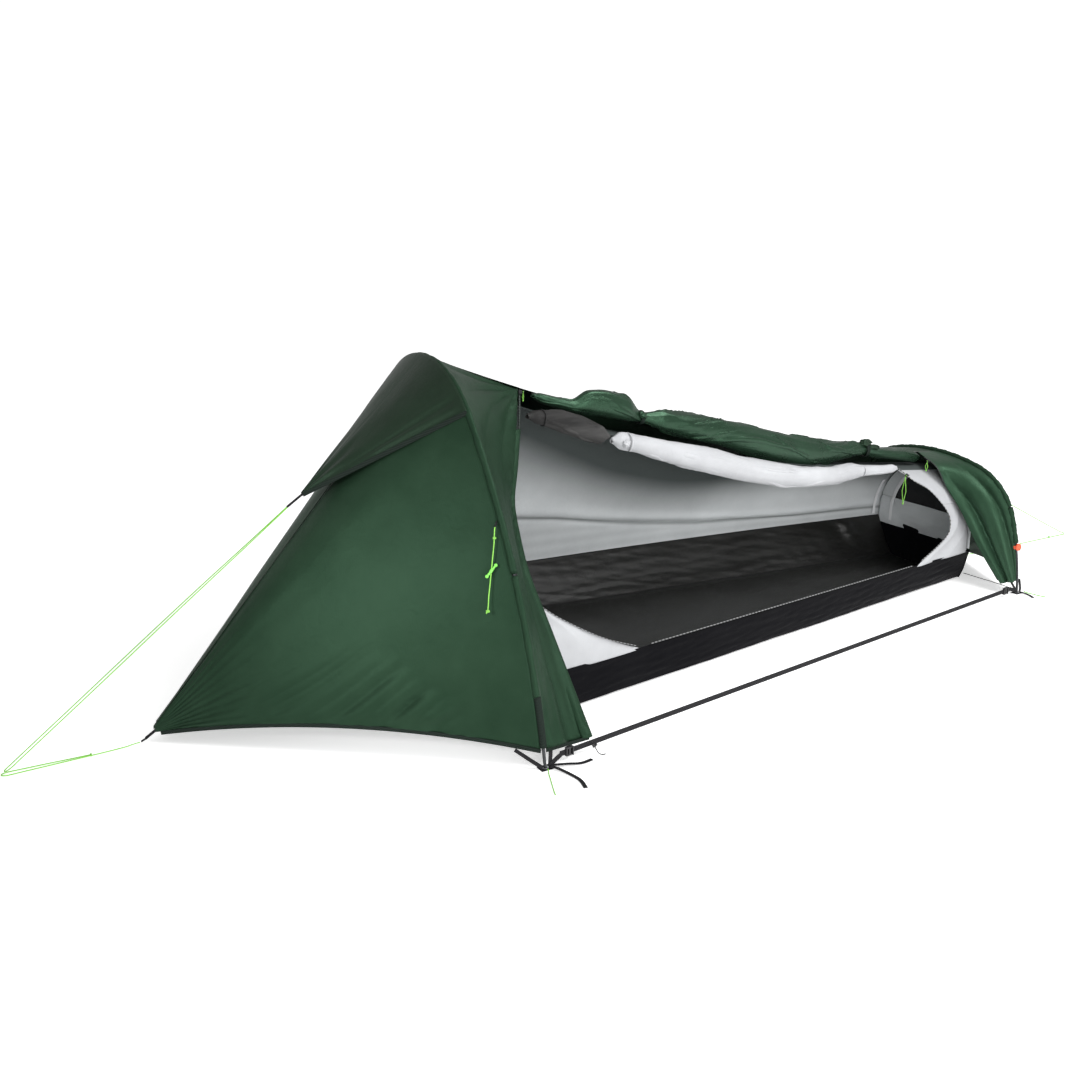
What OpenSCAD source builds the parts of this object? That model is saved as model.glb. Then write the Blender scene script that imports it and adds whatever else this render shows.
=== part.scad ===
// One-person two-hoop bivy tent, pitched, with its long side door rolled up along the ridge.
// X runs along the tent (head end at -X, foot end at +X), the door side faces -Y, Z is up.
// The origin is on the ground, under the middle of the tent. Millimetres.

/* [Hoops] */
// Distance between the feet lines of the front and rear hoops
hoop_gap = 2150; // [2100:10:2200]
// Height of the front hoop
front_h = 958; // [940:2:970]
// Half width of the front hoop at the ground
front_half_w = 649; // [640:1:660]
// Height of the rear hoop along its own plane
rear_h = 465; // [455:1:475]
// Half width of the rear hoop at the ground
rear_half_w = 390; // [380:1:400]
// Lean of the rear hoop towards the head end, in degrees
rear_lean = 5.6; // [4:0.2:7]
// Outer diameter of the pole tube
pole_d = 8.5; // [8:0.1:9]
// Outer diameter of the fabric sleeve round a pole
sleeve_d = 22; // [20:1:24]

/* [Flysheet] */
// Thickness of the plain fabric solids
fabric_t = 2; // [1.6:0.1:2.4]
// Reach of the vestibule in front of the front hoop
vestibule_reach = 826; // [800:1:830]
// Reach of the rear end panel behind the rear hoop
end_reach = 180; // [160:1:182]
// Height of the hem above the ground at the hoops
hem_z = 49; // [45:1:55]
// Sag of the ridge below the straight line between the hoops
ridge_sag = 85; // [80:1:95]
// Reach of the hood in front of the front hoop
hood_reach = 378; // [370:1:385]
// Height of the hood's tip
hood_tip_z = 615; // [600:1:625]

/* [Inner tent] */
// Where the inner tent begins, behind the front hoop
inner_x0 = 52; // [50:1:60]
// Where the inner tent ends
inner_x1 = 2108; // [2100:1:2110]
// Half width of the tub's floor at the head and at the foot
floor_half = [415, 170];
// Half width of the tub's near rim at the head and at the foot
near_rim_half = [400, 200];
// Half width of the tub's far rim at the head and at the foot
far_rim_half = [470, 250];
// Height of the near and far rims of the tub
rim_z = [120, 150];
// Gap between the flysheet's ridge and the top of the inner tent
inner_drop = 55; // [50:1:60]

/* [Straps and cords] */
// Width of the ground straps
strap_w = 16; // [14:1:18]
// Diameter of the guylines
guy_d = 2.5; // [2.2:0.1:3]
// Diameter of the thin black cords and elastics
elastic_d = 2.6; // [2.2:0.1:3]

/* [Hidden] */

// Half of the whole length from the front tab to the rear tab: the origin's place
front_tab_x = -850;
rear_tab_x = 2350;
mid_x = (front_tab_x + rear_tab_x) / 2;

bore_clear = 0.2;
tube_wall = 0.6;
ferrule_d = pole_d - 2 * tube_wall - bore_clear;
ferrule_bore = 5.2;
shock_d = 2.4;
ferrule_len = 90;
tip_gap = 12;
seam_gap = 2;

// ---- Hoop outlines: arcs listed from the crown to the foot, [radius, first slope, last slope]
function solve2(a, b, c, d, p, q) = let(det = a * d - b * c) [(p * d - b * q) / det, (a * q - c * p) / det];
front_slopes = [0, 50, 80];
front_r = solve2(sin(front_slopes[1]), sin(front_slopes[2]) - sin(front_slopes[1]),
    1 - cos(front_slopes[1]), cos(front_slopes[1]) - cos(front_slopes[2]), front_half_w, front_h);
front_arcs = [[front_r[0], 0, front_slopes[1]], [front_r[1], front_slopes[1], front_slopes[2]]];
rear_crown_r = 750;
rear_slopes = [15, 75, 90];
rear_r = solve2(sin(rear_slopes[1]) - sin(rear_slopes[0]), 1 - sin(rear_slopes[1]),
    cos(rear_slopes[0]) - cos(rear_slopes[1]), cos(rear_slopes[1]),
    rear_half_w - rear_crown_r * sin(rear_slopes[0]), rear_h - rear_crown_r * (1 - cos(rear_slopes[0])));
rear_arcs = [[rear_crown_r, 0, rear_slopes[0]], [rear_r[0], rear_slopes[0], rear_slopes[1]],
    [rear_r[1], rear_slopes[1], rear_slopes[2]]];

function arc_start(h, arcs, i) = i == 0 ? [0, h] : let(p = arc_start(h, arcs, i - 1), s = arcs[i - 1])
    [p[0] + s[0] * (sin(s[2]) - sin(s[1])), p[1] - s[0] * (cos(s[1]) - cos(s[2]))];
function arc_centre(h, arcs, i) = let(p = arc_start(h, arcs, i), s = arcs[i])
    [p[0] - s[0] * sin(s[1]), p[1] - s[0] * cos(s[1])];
function arc_index(arcs, a, i = 0) = i == len(arcs) - 1 || a <= arcs[i][2] ? i : arc_index(arcs, a, i + 1);
// Point of a hoop at slope a, moved outwards by out: [half width, height]
function hoop_yz(h, arcs, a, out = 0) = let(i = arc_index(arcs, a), c = arc_centre(h, arcs, i))
    [c[0] + (arcs[i][0] + out) * sin(a), c[1] + (arcs[i][0] + out) * cos(a)];
function arc_len(s) = s[0] * (s[2] - s[1]) * PI / 180;
function slope_at(arcs, d, i = 0) = let(l = arc_len(arcs[i]))
    d <= l || i == len(arcs) - 1 ? arcs[i][1] + d / arcs[i][0] * 180 / PI : slope_at(arcs, d - l, i + 1);
function foot_slope(h, arcs, z) = let(i = len(arcs) - 1, c = arc_centre(h, arcs, i)) acos((z - c[1])
    / arcs[i][0]);
function run_len(arcs, a, i = 0) = i == len(arcs) ? 0
    : (max(0, min(a, arcs[i][2]) - arcs[i][1])) * arcs[i][0] * PI / 180 + run_len(arcs, a, i + 1);

front_hem_len = run_len(front_arcs, foot_slope(front_h, front_arcs, hem_z));
rear_hem_len = run_len(rear_arcs, foot_slope(rear_h, rear_arcs, hem_z));
// Fabric line on each hoop: u runs from 0 at the ridge to 1 at the hem, side is -1 near, 1 far
function front_pt(u, side, dx = 0, out = 0) = let(p = hoop_yz(front_h, front_arcs, slope_at(front_arcs,
    u * front_hem_len), out))
    [dx, side * p[0], p[1]];
function lean_pt(dx, y, z) = [hoop_gap + dx * cos(rear_lean) - z * sin(rear_lean), y,
    z * cos(rear_lean) + dx * sin(rear_lean)];
function rear_pt(u, side, dx = 0, out = 0) = let(p = hoop_yz(rear_h, rear_arcs, slope_at(rear_arcs,
    u * rear_hem_len), out))
    lean_pt(dx, side * p[0], p[1]);
function lerp(a, b, t) = a * (1 - t) + b * t;
function bump(t) = 4 * t * (1 - t);
// Value of a list of evenly spaced samples at t in 0 to 1
function sample(list, t) = let(k = min(floor(t * (len(list) - 1)), len(list) - 2))
    lerp(list[k], list[k + 1], t * (len(list) - 1) - k);
function ridge_z(x) = let(t = x / hoop_gap) lerp(front_h, rear_h, t) - ridge_sag * bump(t);

// ---- General shapes
module place() { translate([-mid_x, 0, 0]) children(); }
module rear_place() { translate([hoop_gap, 0, 0]) rotate([0, -rear_lean, 0]) children(); }

// A round tube along a hoop between two slopes, on one side; a bore of 0 makes it solid.
// A negative first slope carries it across the crown. Each arc stops a hair short of the next.
arc_gap = 0.01;
module hoop_tube(h, arcs, from, to, d_out, d_in, side) {
    for (i = [0 : len(arcs) - 1]) {
        lo = i == 0 ? from : max(arcs[i][1] + arc_gap, from);
        hi = min(arcs[i][2] - arc_gap, to);
        c = arc_centre(h, arcs, i);
        if (hi > lo)
            translate([0, side < 0 ? c[0] * side : c[0], c[1]]) mirror([0, side < 0 ? 1 : 0, 0])
                rotate([90, 0, 90]) rotate([0, 0, 90 - hi])
                    rotate_extrude(angle = hi - lo, $fn = 96) translate([arcs[i][0], 0]) difference() {
                        circle(d = d_out, $fn = 24);
                        if (d_in > 0) circle(d = d_in, $fn = 24);
                    }
    }
}
// A flat bar between two points: w lies along the direction wide, t across it
module bar(p, q, w, t, turn = 0) {
    d = q - p;
    l = norm(d);
    translate(p) rotate([0, acos(d[2] / l), atan2(d[1], d[0])]) rotate([0, 0, turn])
        translate([-t / 2, -w / 2, 0]) cube([t, w, l]);
}
// A closed sheet of even thickness over a grid of points; a negative t thickens it the other way
function grid_step(g, i, j, di, dj) = g[min(i + di, len(g) - 1)][min(j + dj, len(g[0])
    - 1)] - g[max(i - di, 0)][max(j - dj, 0)];
function grid_normal(g, i, j) = let(c = cross(grid_step(g, i, j, 1, 0), grid_step(g, i, j, 0, 1)))
    c / norm(c);
module sheet(grid, thick = fabric_t) {
    g = thick > 0 ? grid : [for (i = [len(grid) - 1 : -1 : 0]) grid[i]];
    t = abs(thick);
    n = len(g);
    m = len(g[0]);
    k = n * m;
    top = [for (i = [0 : n - 1]) for (j = [0 : m - 1]) g[i][j]];
    under = [for (i = [0 : n - 1]) for (j = [0 : m - 1]) g[i][j] - t * grid_normal(g, i, j)];
    rim = concat([for (j = [0 : m - 2]) [0, j, 0, j + 1]], [for (i = [0 : n - 2]) [i, m - 1, i + 1, m - 1]],
        [for (j = [m - 1 : -1 : 1]) [n - 1, j, n - 1, j - 1]], [for (i = [n - 1 : -1 : 1])
            [i, 0, i - 1, 0]]);
    faces = concat(
        [for (i = [0 : n - 2]) for (j = [0 : m - 2]) for (f = [[0, 1, m + 1], [0, m + 1, m]])
            [for (v = f) i * m + j + v]],
        [for (i = [0 : n - 2]) for (j = [0 : m - 2]) for (f = [[m + 1, 1, 0], [m, m + 1, 0]])
            [for (v = f) k + i * m + j + v]],
        [for (r = rim) let(a = r[0] * m + r[1], b = r[2] * m + r[3])
            for (f = [[b, a, k + a], [b, k + a, k + b]]) f]);
    polyhedron(points = concat(top, under), faces = faces);
}
// A closed tube swept along points, with one [half height, half width] pair for each point
module swept(path, sizes, sides) {
    n = len(path);
    rings = [for (i = [0 : n - 1]) let(
        d = path[min(i + 1, n - 1)] - path[max(i - 1, 0)],
        t = d / norm(d),
        ref = abs(t[2]) > 0.9 ? [0, 1, 0] : [0, 0, 1],
        s0 = cross(t, ref),
        s = s0 / norm(s0),
        r = cross(s, t))
        for (k = [0 : sides - 1]) path[i] + r * sizes[i][0] * cos(360 * k / sides)
            + s * sizes[i][1] * sin(360 * k / sides)];
    polyhedron(points = rings, faces = concat(
        [[for (k = [0 : sides - 1]) k]],
        [for (i = [0 : n - 2]) for (k = [0 : sides - 1]) let(k2 = (k + 1) % sides)
            for (f = [[k, k + sides, k2 + sides], [k, k2 + sides, k2]]) [for (v = f) i * sides + v]],
        [[for (k = [sides - 1 : -1 : 0]) (n - 1) * sides + k]]));
}
module cord(path, d) { swept(path, [for (p = path) [d / 2, d / 2]], 8); }
function mirrored(path) = [for (p = path) [p[0], -p[1], p[2]]];

// ---- Poles
front_cuts = [for (k = [0 : 3]) slope_at(front_arcs, k * run_len(front_arcs, foot_slope(front_h,
    front_arcs, tip_gap)) / 3)];
rear_cuts = [for (k = [0 : 2]) slope_at(rear_arcs, k * run_len(rear_arcs, foot_slope(rear_h, rear_arcs,
    tip_gap)) / 2)];
joint_gap = 0.02;
function ferrule_half(arcs, a) = ferrule_len / 2 / arcs[arc_index(arcs, a)][0] * 180 / PI;

module front_pole() {
    color("#3c3f42") place() for (side = [-1, 1]) for (k = [0 : 2])
        hoop_tube(front_h, front_arcs, front_cuts[k] + joint_gap, front_cuts[k + 1] - joint_gap,
            pole_d, pole_d - 2 * tube_wall, side);
}
module rear_pole() {
    color("#3c3f42") place() rear_place() for (side = [-1, 1]) for (k = [0 : 1])
        hoop_tube(rear_h, rear_arcs, rear_cuts[k] + joint_gap, rear_cuts[k + 1] - joint_gap,
            pole_d, pole_d - 2 * tube_wall, side);
}
// Inner connecting tubes at every joint of the two hoops
module ferrule(h, arcs, a, side) {
    half = ferrule_half(arcs, a);
    hoop_tube(h, arcs, a - half, a + half, ferrule_d, ferrule_bore, side);
}
module pole_ferrules() {
    color("silver") place() {
        ferrule(front_h, front_arcs, 0, 1);
        for (side = [-1, 1]) for (k = [1 : 2]) ferrule(front_h, front_arcs, front_cuts[k], side);
        rear_place() {
            ferrule(rear_h, rear_arcs, 0, 1);
            for (side = [-1, 1]) ferrule(rear_h, rear_arcs, rear_cuts[1], side);
        }
    }
}
// Elastic cord inside each hoop
shock_end_z = 24;
module shock_cords() {
    color("black") place() {
        for (side = [-1, 1]) hoop_tube(front_h, front_arcs, arc_gap, foot_slope(front_h, front_arcs,
            shock_end_z), shock_d, 0, side);
        rear_place() for (side = [-1, 1])
            hoop_tube(rear_h, rear_arcs, arc_gap, foot_slope(rear_h, rear_arcs, shock_end_z), shock_d,
                0, side);
    }
}
tip_d = 7.6;
plug_d = 6.8;
plug_len = 9;
// A turned tip: a plug in the tube's end and a round nose that stands on the ground
module pole_tip(h, arcs, side, lean) {
    a = foot_slope(h, arcs, tip_gap);
    p = hoop_yz(h, arcs, a);
    drop = (p[1] - tip_d / 2 / cos(lean)) / sin(a);
    translate([0, side * p[0], p[1]]) rotate([side * (90 - a), 0, 0]) {
        translate([0, 0, -drop]) {
            sphere(d = tip_d, $fn = 32);
            cylinder(d = tip_d, h = drop - 0.2, $fn = 32);
        }
        translate([0, 0, -1]) cylinder(d = plug_d, h = plug_len + 1, $fn = 32);
    }
}
module pole_tips() {
    color("silver") place() for (side = [-1, 1]) {
        pole_tip(front_h, front_arcs, side, 0);
        rear_place() pole_tip(rear_h, rear_arcs, side, rear_lean);
    }
}
eyelet_out = 18;
eyelet_bore = 10.4;
eyelet_z = 1.2;
eyelet_t = 2.4;
feet = [[0, -front_half_w], [0, front_half_w], [hoop_gap, -rear_half_w], [hoop_gap, rear_half_w]];
// Rings in the foot webbing that take the pole tips
module foot_eyelets() {
    color("silver") place() for (f = feet) translate([f[0], f[1], eyelet_z])
        rotate_extrude($fn = 48) translate([eyelet_bore / 2, 0]) square([(eyelet_out - eyelet_bore)
            / 2, eyelet_t]);
}

// ---- Flysheet
sleeve_bore = pole_d + 6;
module front_sleeve() {
    color("#1f3a2a") place() for (side = [-1, 1])
        hoop_tube(front_h, front_arcs, 0.02, foot_slope(front_h, front_arcs, hem_z + 4), sleeve_d,
            sleeve_bore, side);
}
rear_sleeve_z = 190;
module rear_sleeve() {
    color("#1f3a2a") place() rear_place() for (side = [-1, 1])
        hoop_tube(rear_h, rear_arcs, 0.02, foot_slope(rear_h, rear_arcs, rear_sleeve_z), sleeve_d,
            sleeve_bore, side);
}
panel_dx = sleeve_d / 2 + seam_gap;
hem_lift = 45;
corner_z = 30;
vestibule_end = 0.975;
vestibule_apex = [-vestibule_reach, 0, corner_z];
// Vestibule half: straight lines from the front hoop to the front corner, with a lifted hem
function vestibule_pt(u, v, side) = lerp(front_pt(u, side, -panel_dx, -1), vestibule_apex, v)
    + [0, 0, hem_lift * bump(v) * pow(u, 4)]
    + [0, side * seam_gap * (1 - u), 0];
vest_rows = 16;
vest_cols = 8;
module vestibule_half(side) {
    sheet([for (i = [0 : vest_rows]) [for (j = [0 : vest_cols])
        vestibule_pt(i / vest_rows, vestibule_end * j / vest_cols, side)]], side * fabric_t);
}
module vestibule_near() { color("#1f4a33") place() vestibule_half(-1); }
module vestibule_far() { color("#1f4a33") place() vestibule_half(1); }

hood_tip = [-hood_reach, 0, hood_tip_z];
hood_u = 0.245;
hood_out = 9;
hood_rows = 20;
hood_end = 0.985;
// Hood: a beak from the crown of the front hoop to its tip
function hood_pt(w, v) = lerp(front_pt(abs(w) * hood_u, w < 0 ? -1 : 1, -panel_dx, hood_out), hood_tip, v);
module hood() {
    color("#1b3a2a") place()
        sheet([for (i = [0 : hood_rows]) [for (j = [0 : 4]) hood_pt(2 * i / hood_rows - 1,
            hood_end * j / 4)]]);
}

// Free rear edge of the side panel, where the long door unzips, from the ridge to the hem
side_edge = [[290, 0, 845], [255, -60, 765], [211, -120, 647], [180, -157, 560], [150, -234, 498],
    [124, -338, 407],
    [139, -428, 272], [140, -632, 47]];
module side_panel() {
    color("#1f4a33") place() sheet([for (i = [0 : 14]) [for (j = [0 : 4])
        lerp(front_pt(i / 14, -1, panel_dx, -1), sample(side_edge, i / 14), j / 4) + [0, -seam_gap,
            0]]], fabric_t);
}
// Free front edge of the rear side panel, from the ridge to the rear foot
rear_edge = [[1990, -14, 472], [1982, -114, 434], [2007, -142, 367], [2036, -197, 283],
    [2072, -250, 160], [2104, -325, 42]];
module rear_side_panel() {
    color("#1f4a33") place() sheet([for (i = [0 : 12]) [for (j = [0 : 4])
        lerp(rear_pt(i / 12, -1, -panel_dx, -1), sample(rear_edge, i / 12), j / 4) + [0, -seam_gap,
            0]]], -fabric_t);
}
// Roof and far wall, from the ridge to the far hem
function far_pt(u, v) = lerp(front_pt(u, 1, panel_dx, -1), rear_pt(u, 1, -panel_dx, -1), v)
    - [0, 0, ridge_sag * bump(v) * pow(1 - u, 1.5)] + [0, seam_gap, 0];
module far_panel() {
    color("#1f4a33") place() sheet([for (i = [0 : 14]) [for (j = [0 : 14]) far_pt(i / 14, j / 14)]],
        -fabric_t);
}
end_apex = [hoop_gap + end_reach, 0, corner_z];
function end_pt(u, v, side) = lerp(rear_pt(u, side, panel_dx, -1), end_apex, v)
    + [0, side * seam_gap * (1 - u), 0];
module end_half(side) {
    sheet([for (i = [0 : 12]) [for (j = [0 : 3]) end_pt(i / 12, 0.93 * j / 3, side)]], -side * fabric_t);
}
module end_panel_near() { color("#1f4a33") place() end_half(-1); }
module end_panel_far() { color("#1f4a33") place() end_half(1); }

// Rolled flysheet door: [x, sideways, height above the ridge line, half height, half width]
fly_roll = [[318, -35, -14, 11, 12], [352, -36, -14, 17, 18], [420, -38, -12, 17, 20],
    [470, -40, 6, 34, 26],
    [570, -42, 22, 42, 28], [640, -40, 22, 40, 26], [692, -32, 6, 16, 16], [718, -32, 6, 16, 16],
        [780, -38, 10, 34, 26],
    [880, -40, 10, 44, 30], [1000, -42, 10, 46, 32], [1120, -42, 0, 48, 34], [1250, -44, -12, 49, 34],
    [1390, -42, -20, 52, 32], [1530, -36, -12, 37, 26], [1640, -32, 4, 27, 22], [1676, -30, 2, 20, 18],
        [1704, -30, 2, 20, 18],
    [1760, -30, -8, 19, 18], [1900, -30, -16, 20, 18], [1978, -30, -25, 18, 14]];
module fly_door_roll() {
    color("#235239") place() swept([for (s = fly_roll) [s[0], s[1], ridge_z(s[0]) + s[2]]],
        [for (s = fly_roll) [s[3], s[4]]], 12);
}
// Bands that tie the rolled door to the ridge: [x, sideways, height above the ridge, radius]
fly_tie_at = [[705, -32, 6, 21], [1690, -30, 2, 25]];
tie_d = 5;
module fly_door_ties() {
    color("#15251c") place() for (t = fly_tie_at) translate([t[0], t[1], ridge_z(t[0]) + t[2]])
        rotate([0, 90, 0]) rotate_extrude($fn = 48) translate([t[3], 0]) circle(d = tie_d, $fn = 16);
}
// Zip tape along the free edges of the side panel and of the rear side panel
tape_d = 4;
front_tape_off = [7, -5, 0];
rear_tape_off = [-9, -6, 0];
front_tape = concat([lerp(side_edge[0], side_edge[1], 0.04)], [for (i = [1 : 6]) side_edge[i]],
    [lerp(side_edge[6], side_edge[7], 0.9)]);
rear_tape = concat([lerp(rear_edge[0], rear_edge[1], 0.35)], [for (i = [1 : 4]) rear_edge[i]],
    [lerp(rear_edge[4], rear_edge[5], 0.9)]);
module fly_zip_tape() {
    color("#101512") place() {
        cord([for (p = front_tape) p + front_tape_off], tape_d);
        cord([for (p = rear_tape) p + rear_tape_off], tape_d);
    }
}
slider_size = [9, 9, 12];
slider_bore = 5.4;
pin_d = 2;
pin_at = 8.2;
pin_end = 10.4;
// Zip slider: a block bored for the zip, with a headed pin for the pull; face is +1 or -1 along X
module zip_slider(dir, face) {
    difference() {
        rotate([0, acos(dir[2] / norm(dir)), atan2(dir[1], dir[0])]) cube(slider_size, center = true);
        rotate([0, acos(dir[2] / norm(dir)), atan2(dir[1], dir[0])]) cylinder(d = slider_bore, h = 30,
            center = true, $fn = 24);
    }
    rotate([0, face * 90, 0]) {
        translate([0, 0, slider_bore / 2 + 0.7]) cylinder(d = pin_d,
            h = pin_end - slider_bore / 2 - 0.7, $fn = 24);
        translate([0, 0, pin_end - 0.8]) cylinder(d = 6.4, h = 0.8, $fn = 24);
    }
}
pull_ring_r = 3.2;
pull_ring_d = 1.6;
pull_cord_d = 2.4;
module rod(a, b, d) {
    v = b - a;
    translate(a) rotate([0, acos(v[2] / norm(v)), atan2(v[1], v[0])]) cylinder(d = d, h = norm(v),
        $fn = 16);
}
// Zip pull: a ring on the slider's pin and a cord loop that ends in a knot
module zip_pull(length, spread) {
    rotate([0, 90, 0]) rotate_extrude($fn = 32) translate([pull_ring_r, 0]) circle(d = pull_ring_d,
        $fn = 16);
    top = [0, 0, -pull_ring_r - 0.6];
    low = [0, 0, -length];
    for (s = [-1, 1]) {
        mid = [0, s * spread, -0.55 * length];
        rod(top, mid, pull_cord_d);
        rod(mid, low, pull_cord_d);
        translate(mid) sphere(d = pull_cord_d + 0.2, $fn = 16);
    }
    translate(low) sphere(d = 6, $fn = 24);
}
fly_slider_at = lerp(side_edge[0], side_edge[1], 0.12) + front_tape_off;
module fly_zip_slider() {
    color("#20262a") place() translate(fly_slider_at) zip_slider(side_edge[1] - side_edge[0], 1);
}
module fly_zip_pull() { color("#7bd34a") place() translate(fly_slider_at + [pin_at, 0, 0])
    zip_pull(24, 4); }
fly_rear_at = lerp(rear_edge[0], rear_edge[1], 0.6) + rear_tape_off;
module fly_rear_slider() {
    color("#20262a") place() translate(fly_rear_at) zip_slider(rear_edge[1] - rear_edge[0], -1);
}
module fly_rear_pull() { color("#7bd34a") place() translate(fly_rear_at - [pin_at, 0, 0]) zip_pull(34, 6); }

// Webbing tabs: front corner, hood tip, rear corner and rear guy point
tab_w = 14;
tab_t = 2;
module webbing_tabs() {
    color("black") place() {
        bar([-806, 0, 35], [-836, 0, 14], tab_w, tab_t, 90);
        bar([-836, 0, 14], [front_tab_x, 0, 7], 9, tab_t, 90);
        bar([-374, 0, 617], [-414, 0, 588], tab_w, tab_t, 90);
        bar([2321, 0, 36], [rear_tab_x, 0, 8], tab_w, tab_t, 90);
        bar([2144, 0, 420], [2161, 0, 407], tab_w, tab_t, 90);
    }
}
binding_d = 5;
// Bound edges: vestibule hem on both sides, side panel hem, hood edges
module hem_binding() {
    color("black") place() {
        for (side = [-1, 1])
            cord([for (j = [0 : 12]) vestibule_pt(1, 0.96 * j / 12 + 0.002, side) + [0, side * 3, -5]],
                binding_d);
        cord([for (j = [0 : 4]) lerp(front_pt(1, -1, panel_dx, -1), side_edge[7], j / 4)
            + [0, -3, -6]], binding_d);
        cord([for (j = [0 : 12]) far_pt(1, j / 12) + [0, 2, -6]], binding_d);
        for (w = [-1, 1]) cord([for (j = [0 : 6]) hood_pt(w, 0.97 * j / 6) + [-2, w * 2, -6]], binding_d);
    }
}

// ---- Foot webbing and ground straps
strap_t = 1.8;
strap_z = 25;
strap_clear = 46;
web_t = 2;
// Two short webbing legs at each foot, from the hem down to the eyelet
module foot_webbing() {
    color("black") place() {
        for (side = [-1, 1]) {
            bar([-60, side * (front_half_w - 47), 42], [-9, side * (front_half_w + 4), 6], 11, web_t, 0);
            bar([24, side * (front_half_w - 16), 37], [11, side * (front_half_w + 6), 6], 11, web_t, 0);
            bar([hoop_gap - 24, side * (rear_half_w - 22), 37], [hoop_gap - 10,
                side * (rear_half_w + 4), 6], 11, web_t, 0);
        }
        for (f = feet) translate([f[0], f[1], 0.6]) difference() {
            linear_extrude(3.4) square([32, 26], center = true);
            translate([0, 0, -1]) cylinder(d = eyelet_out + 0.6, h = 8, $fn = 48);
        }
    }
}
function strap_end(side, x) = [x, side * lerp(front_half_w, rear_half_w, x / hoop_gap), strap_z];
module ground_strap(side) { bar(strap_end(side, strap_clear), strap_end(side, hoop_gap - strap_clear),
    strap_t, strap_w, 0); }
module ground_strap_near() { color("black") place() ground_strap(-1); }
module ground_strap_far() { color("black") place() ground_strap(1); }
lock_size = [22, 8, 24];
lock_slot_w = 20;
// Ladder lock: a frame that the strap runs through, with a lip on its outer face
module ladder_lock(p, side) {
    yaw = side * atan2(rear_half_w - front_half_w, hoop_gap);
    translate(p) rotate([0, 0, yaw]) difference() {
        union() {
            cube(lock_size, center = true);
            translate([lock_size[0] / 2 - 1.5, side * 5, 0]) cube([3, 3, lock_size[2]], center = true);
        }
        cube([lock_size[0] + 2, strap_t + 1.6, lock_slot_w - 2], center = true);
        for (k = [-1, 1]) translate([k * 5, 0, 0]) cube([4, lock_size[1] + 2, lock_slot_w - 4],
            center = true);
    }
}
lock_front_x = 76;
lock_rear_x = 2070;
module ladder_lock_front_near() { color("#1a1a1a") place() ladder_lock(strap_end(-1, lock_front_x), -1); }
module ladder_lock_front_far() { color("#1a1a1a") place() ladder_lock(strap_end(1, lock_front_x), 1); }
module ladder_lock_rear_near() { color("#1a1a1a") place() ladder_lock(strap_end(-1, lock_rear_x), -1); }
module ladder_lock_rear_far() { color("#1a1a1a") place() ladder_lock(strap_end(1, lock_rear_x), 1); }
tail_w = 12;
tail_t = 1.8;
// Loose webbing tails that lie on the ground at the feet: points in order, near side
front_tail = [[22, -672, 5], [30, -712, 3], [36, -748, 2.2], [28, -788, 2]];
side_tail = [[48, -668, 5], [84, -676, 3], [120, -672, 2.2]];
rear_tail = [[hoop_gap + 6, -412, 4], [hoop_gap + 6, -434, 2.4], [hoop_gap - 4, -458, 2]];
module strap_tails() {
    color("black") place() for (path = [front_tail, side_tail, rear_tail]) {
        sheet([for (p = path) [p + [0, 0, 0], p + [tail_w, 0, 0]]], tail_t);
        sheet([for (p = mirrored(path)) [p + [0, 0, 0], p + [tail_w, 0, 0]]], -tail_t);
    }
}

// ---- Inner tent
inner_len = inner_x1 - inner_x0;
function near_rim(v) = lerp(near_rim_half[0], near_rim_half[1], v);
far_bulge = 30;
function far_rim(v) = lerp(far_rim_half[0], far_rim_half[1], v) + far_bulge * bump(v);
function floor_w(v) = lerp(floor_half[0], floor_half[1], v);
tub_t = 3;
weld_gap = 0.5;
rim_gap = 3;
// Cross-section of the tub from the near rim down, across the floor and up to the far rim
function tub_section(v) = let(x = inner_x0 + inner_len * v, f = floor_w(v))
    [[x, -near_rim(v), rim_z[0]], [x, -lerp(near_rim(v), f, 0.6), 40], [x, -f, 0], [x, 0, 0], [x, f, 0],
        [x, lerp(far_rim(v), f, 0.6), 50], [x, far_rim(v), rim_z[1]]];
function section_xy(v) = [for (p = tub_section(v)) [p[1], p[2]]];
module end_plate(v, x) {
    translate([x, 0, 0]) rotate([90, 0, 90]) linear_extrude(tub_t) polygon(section_xy(v));
}
module tub_floor() {
    color("#15171a") place() {
        sheet([for (j = [0 : 10]) tub_section(j / 10)], -tub_t);
        end_plate(0, inner_x0 - tub_t - weld_gap);
        end_plate(1, inner_x1 + weld_gap);
    }
}
arch_power = [1.3, 0.9];
// Inner canopy: u runs from the ridge to the rim, v from head to foot
function inner_pt(u, v, side) = let(
    a = 90 * u,
    x = inner_x0 + inner_len * v,
    rim_y = side < 0 ? near_rim(v) : far_rim(v),
    rim = (side < 0 ? rim_z[0] : rim_z[1]) + rim_gap,
    top = ridge_z(x) - inner_drop)
    [x, side * rim_y * sin(a), rim + (top - rim) * pow(cos(a), lerp(arch_power[0], arch_power[1], v))];
module inner_far_wall() {
    color("#b9bec2") place() sheet([for (i = [0 : 12]) [for (j = [0 : 12])
        inner_pt(i / 12, 0.004 + 0.99 * j / 12, 1) + [0, seam_gap, 0]]], -fabric_t);
}
function arch_line(v, inset, z_min) = concat(
    [for (i = [0 : 12]) let(p = inner_pt(1 - i / 12, v, -1)) if (p[2] >= z_min) [p[1] + inset,
        p[2] - inset / 2]],
    [for (i = [1 : 12]) let(p = inner_pt(i / 12, v, 1)) if (p[2] >= z_min) [p[1] - inset,
        p[2] - inset / 2]]);
wall_t = 2;
module inner_head_wall() {
    color("#b9bec2") place() translate([inner_x0 - 4, 0, 0]) rotate([90, 0, 90]) linear_extrude(wall_t)
        polygon(arch_line(0, 4, 120));
}
mesh_z = 236;
foot_wall_x = inner_x1 - 4;
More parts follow.
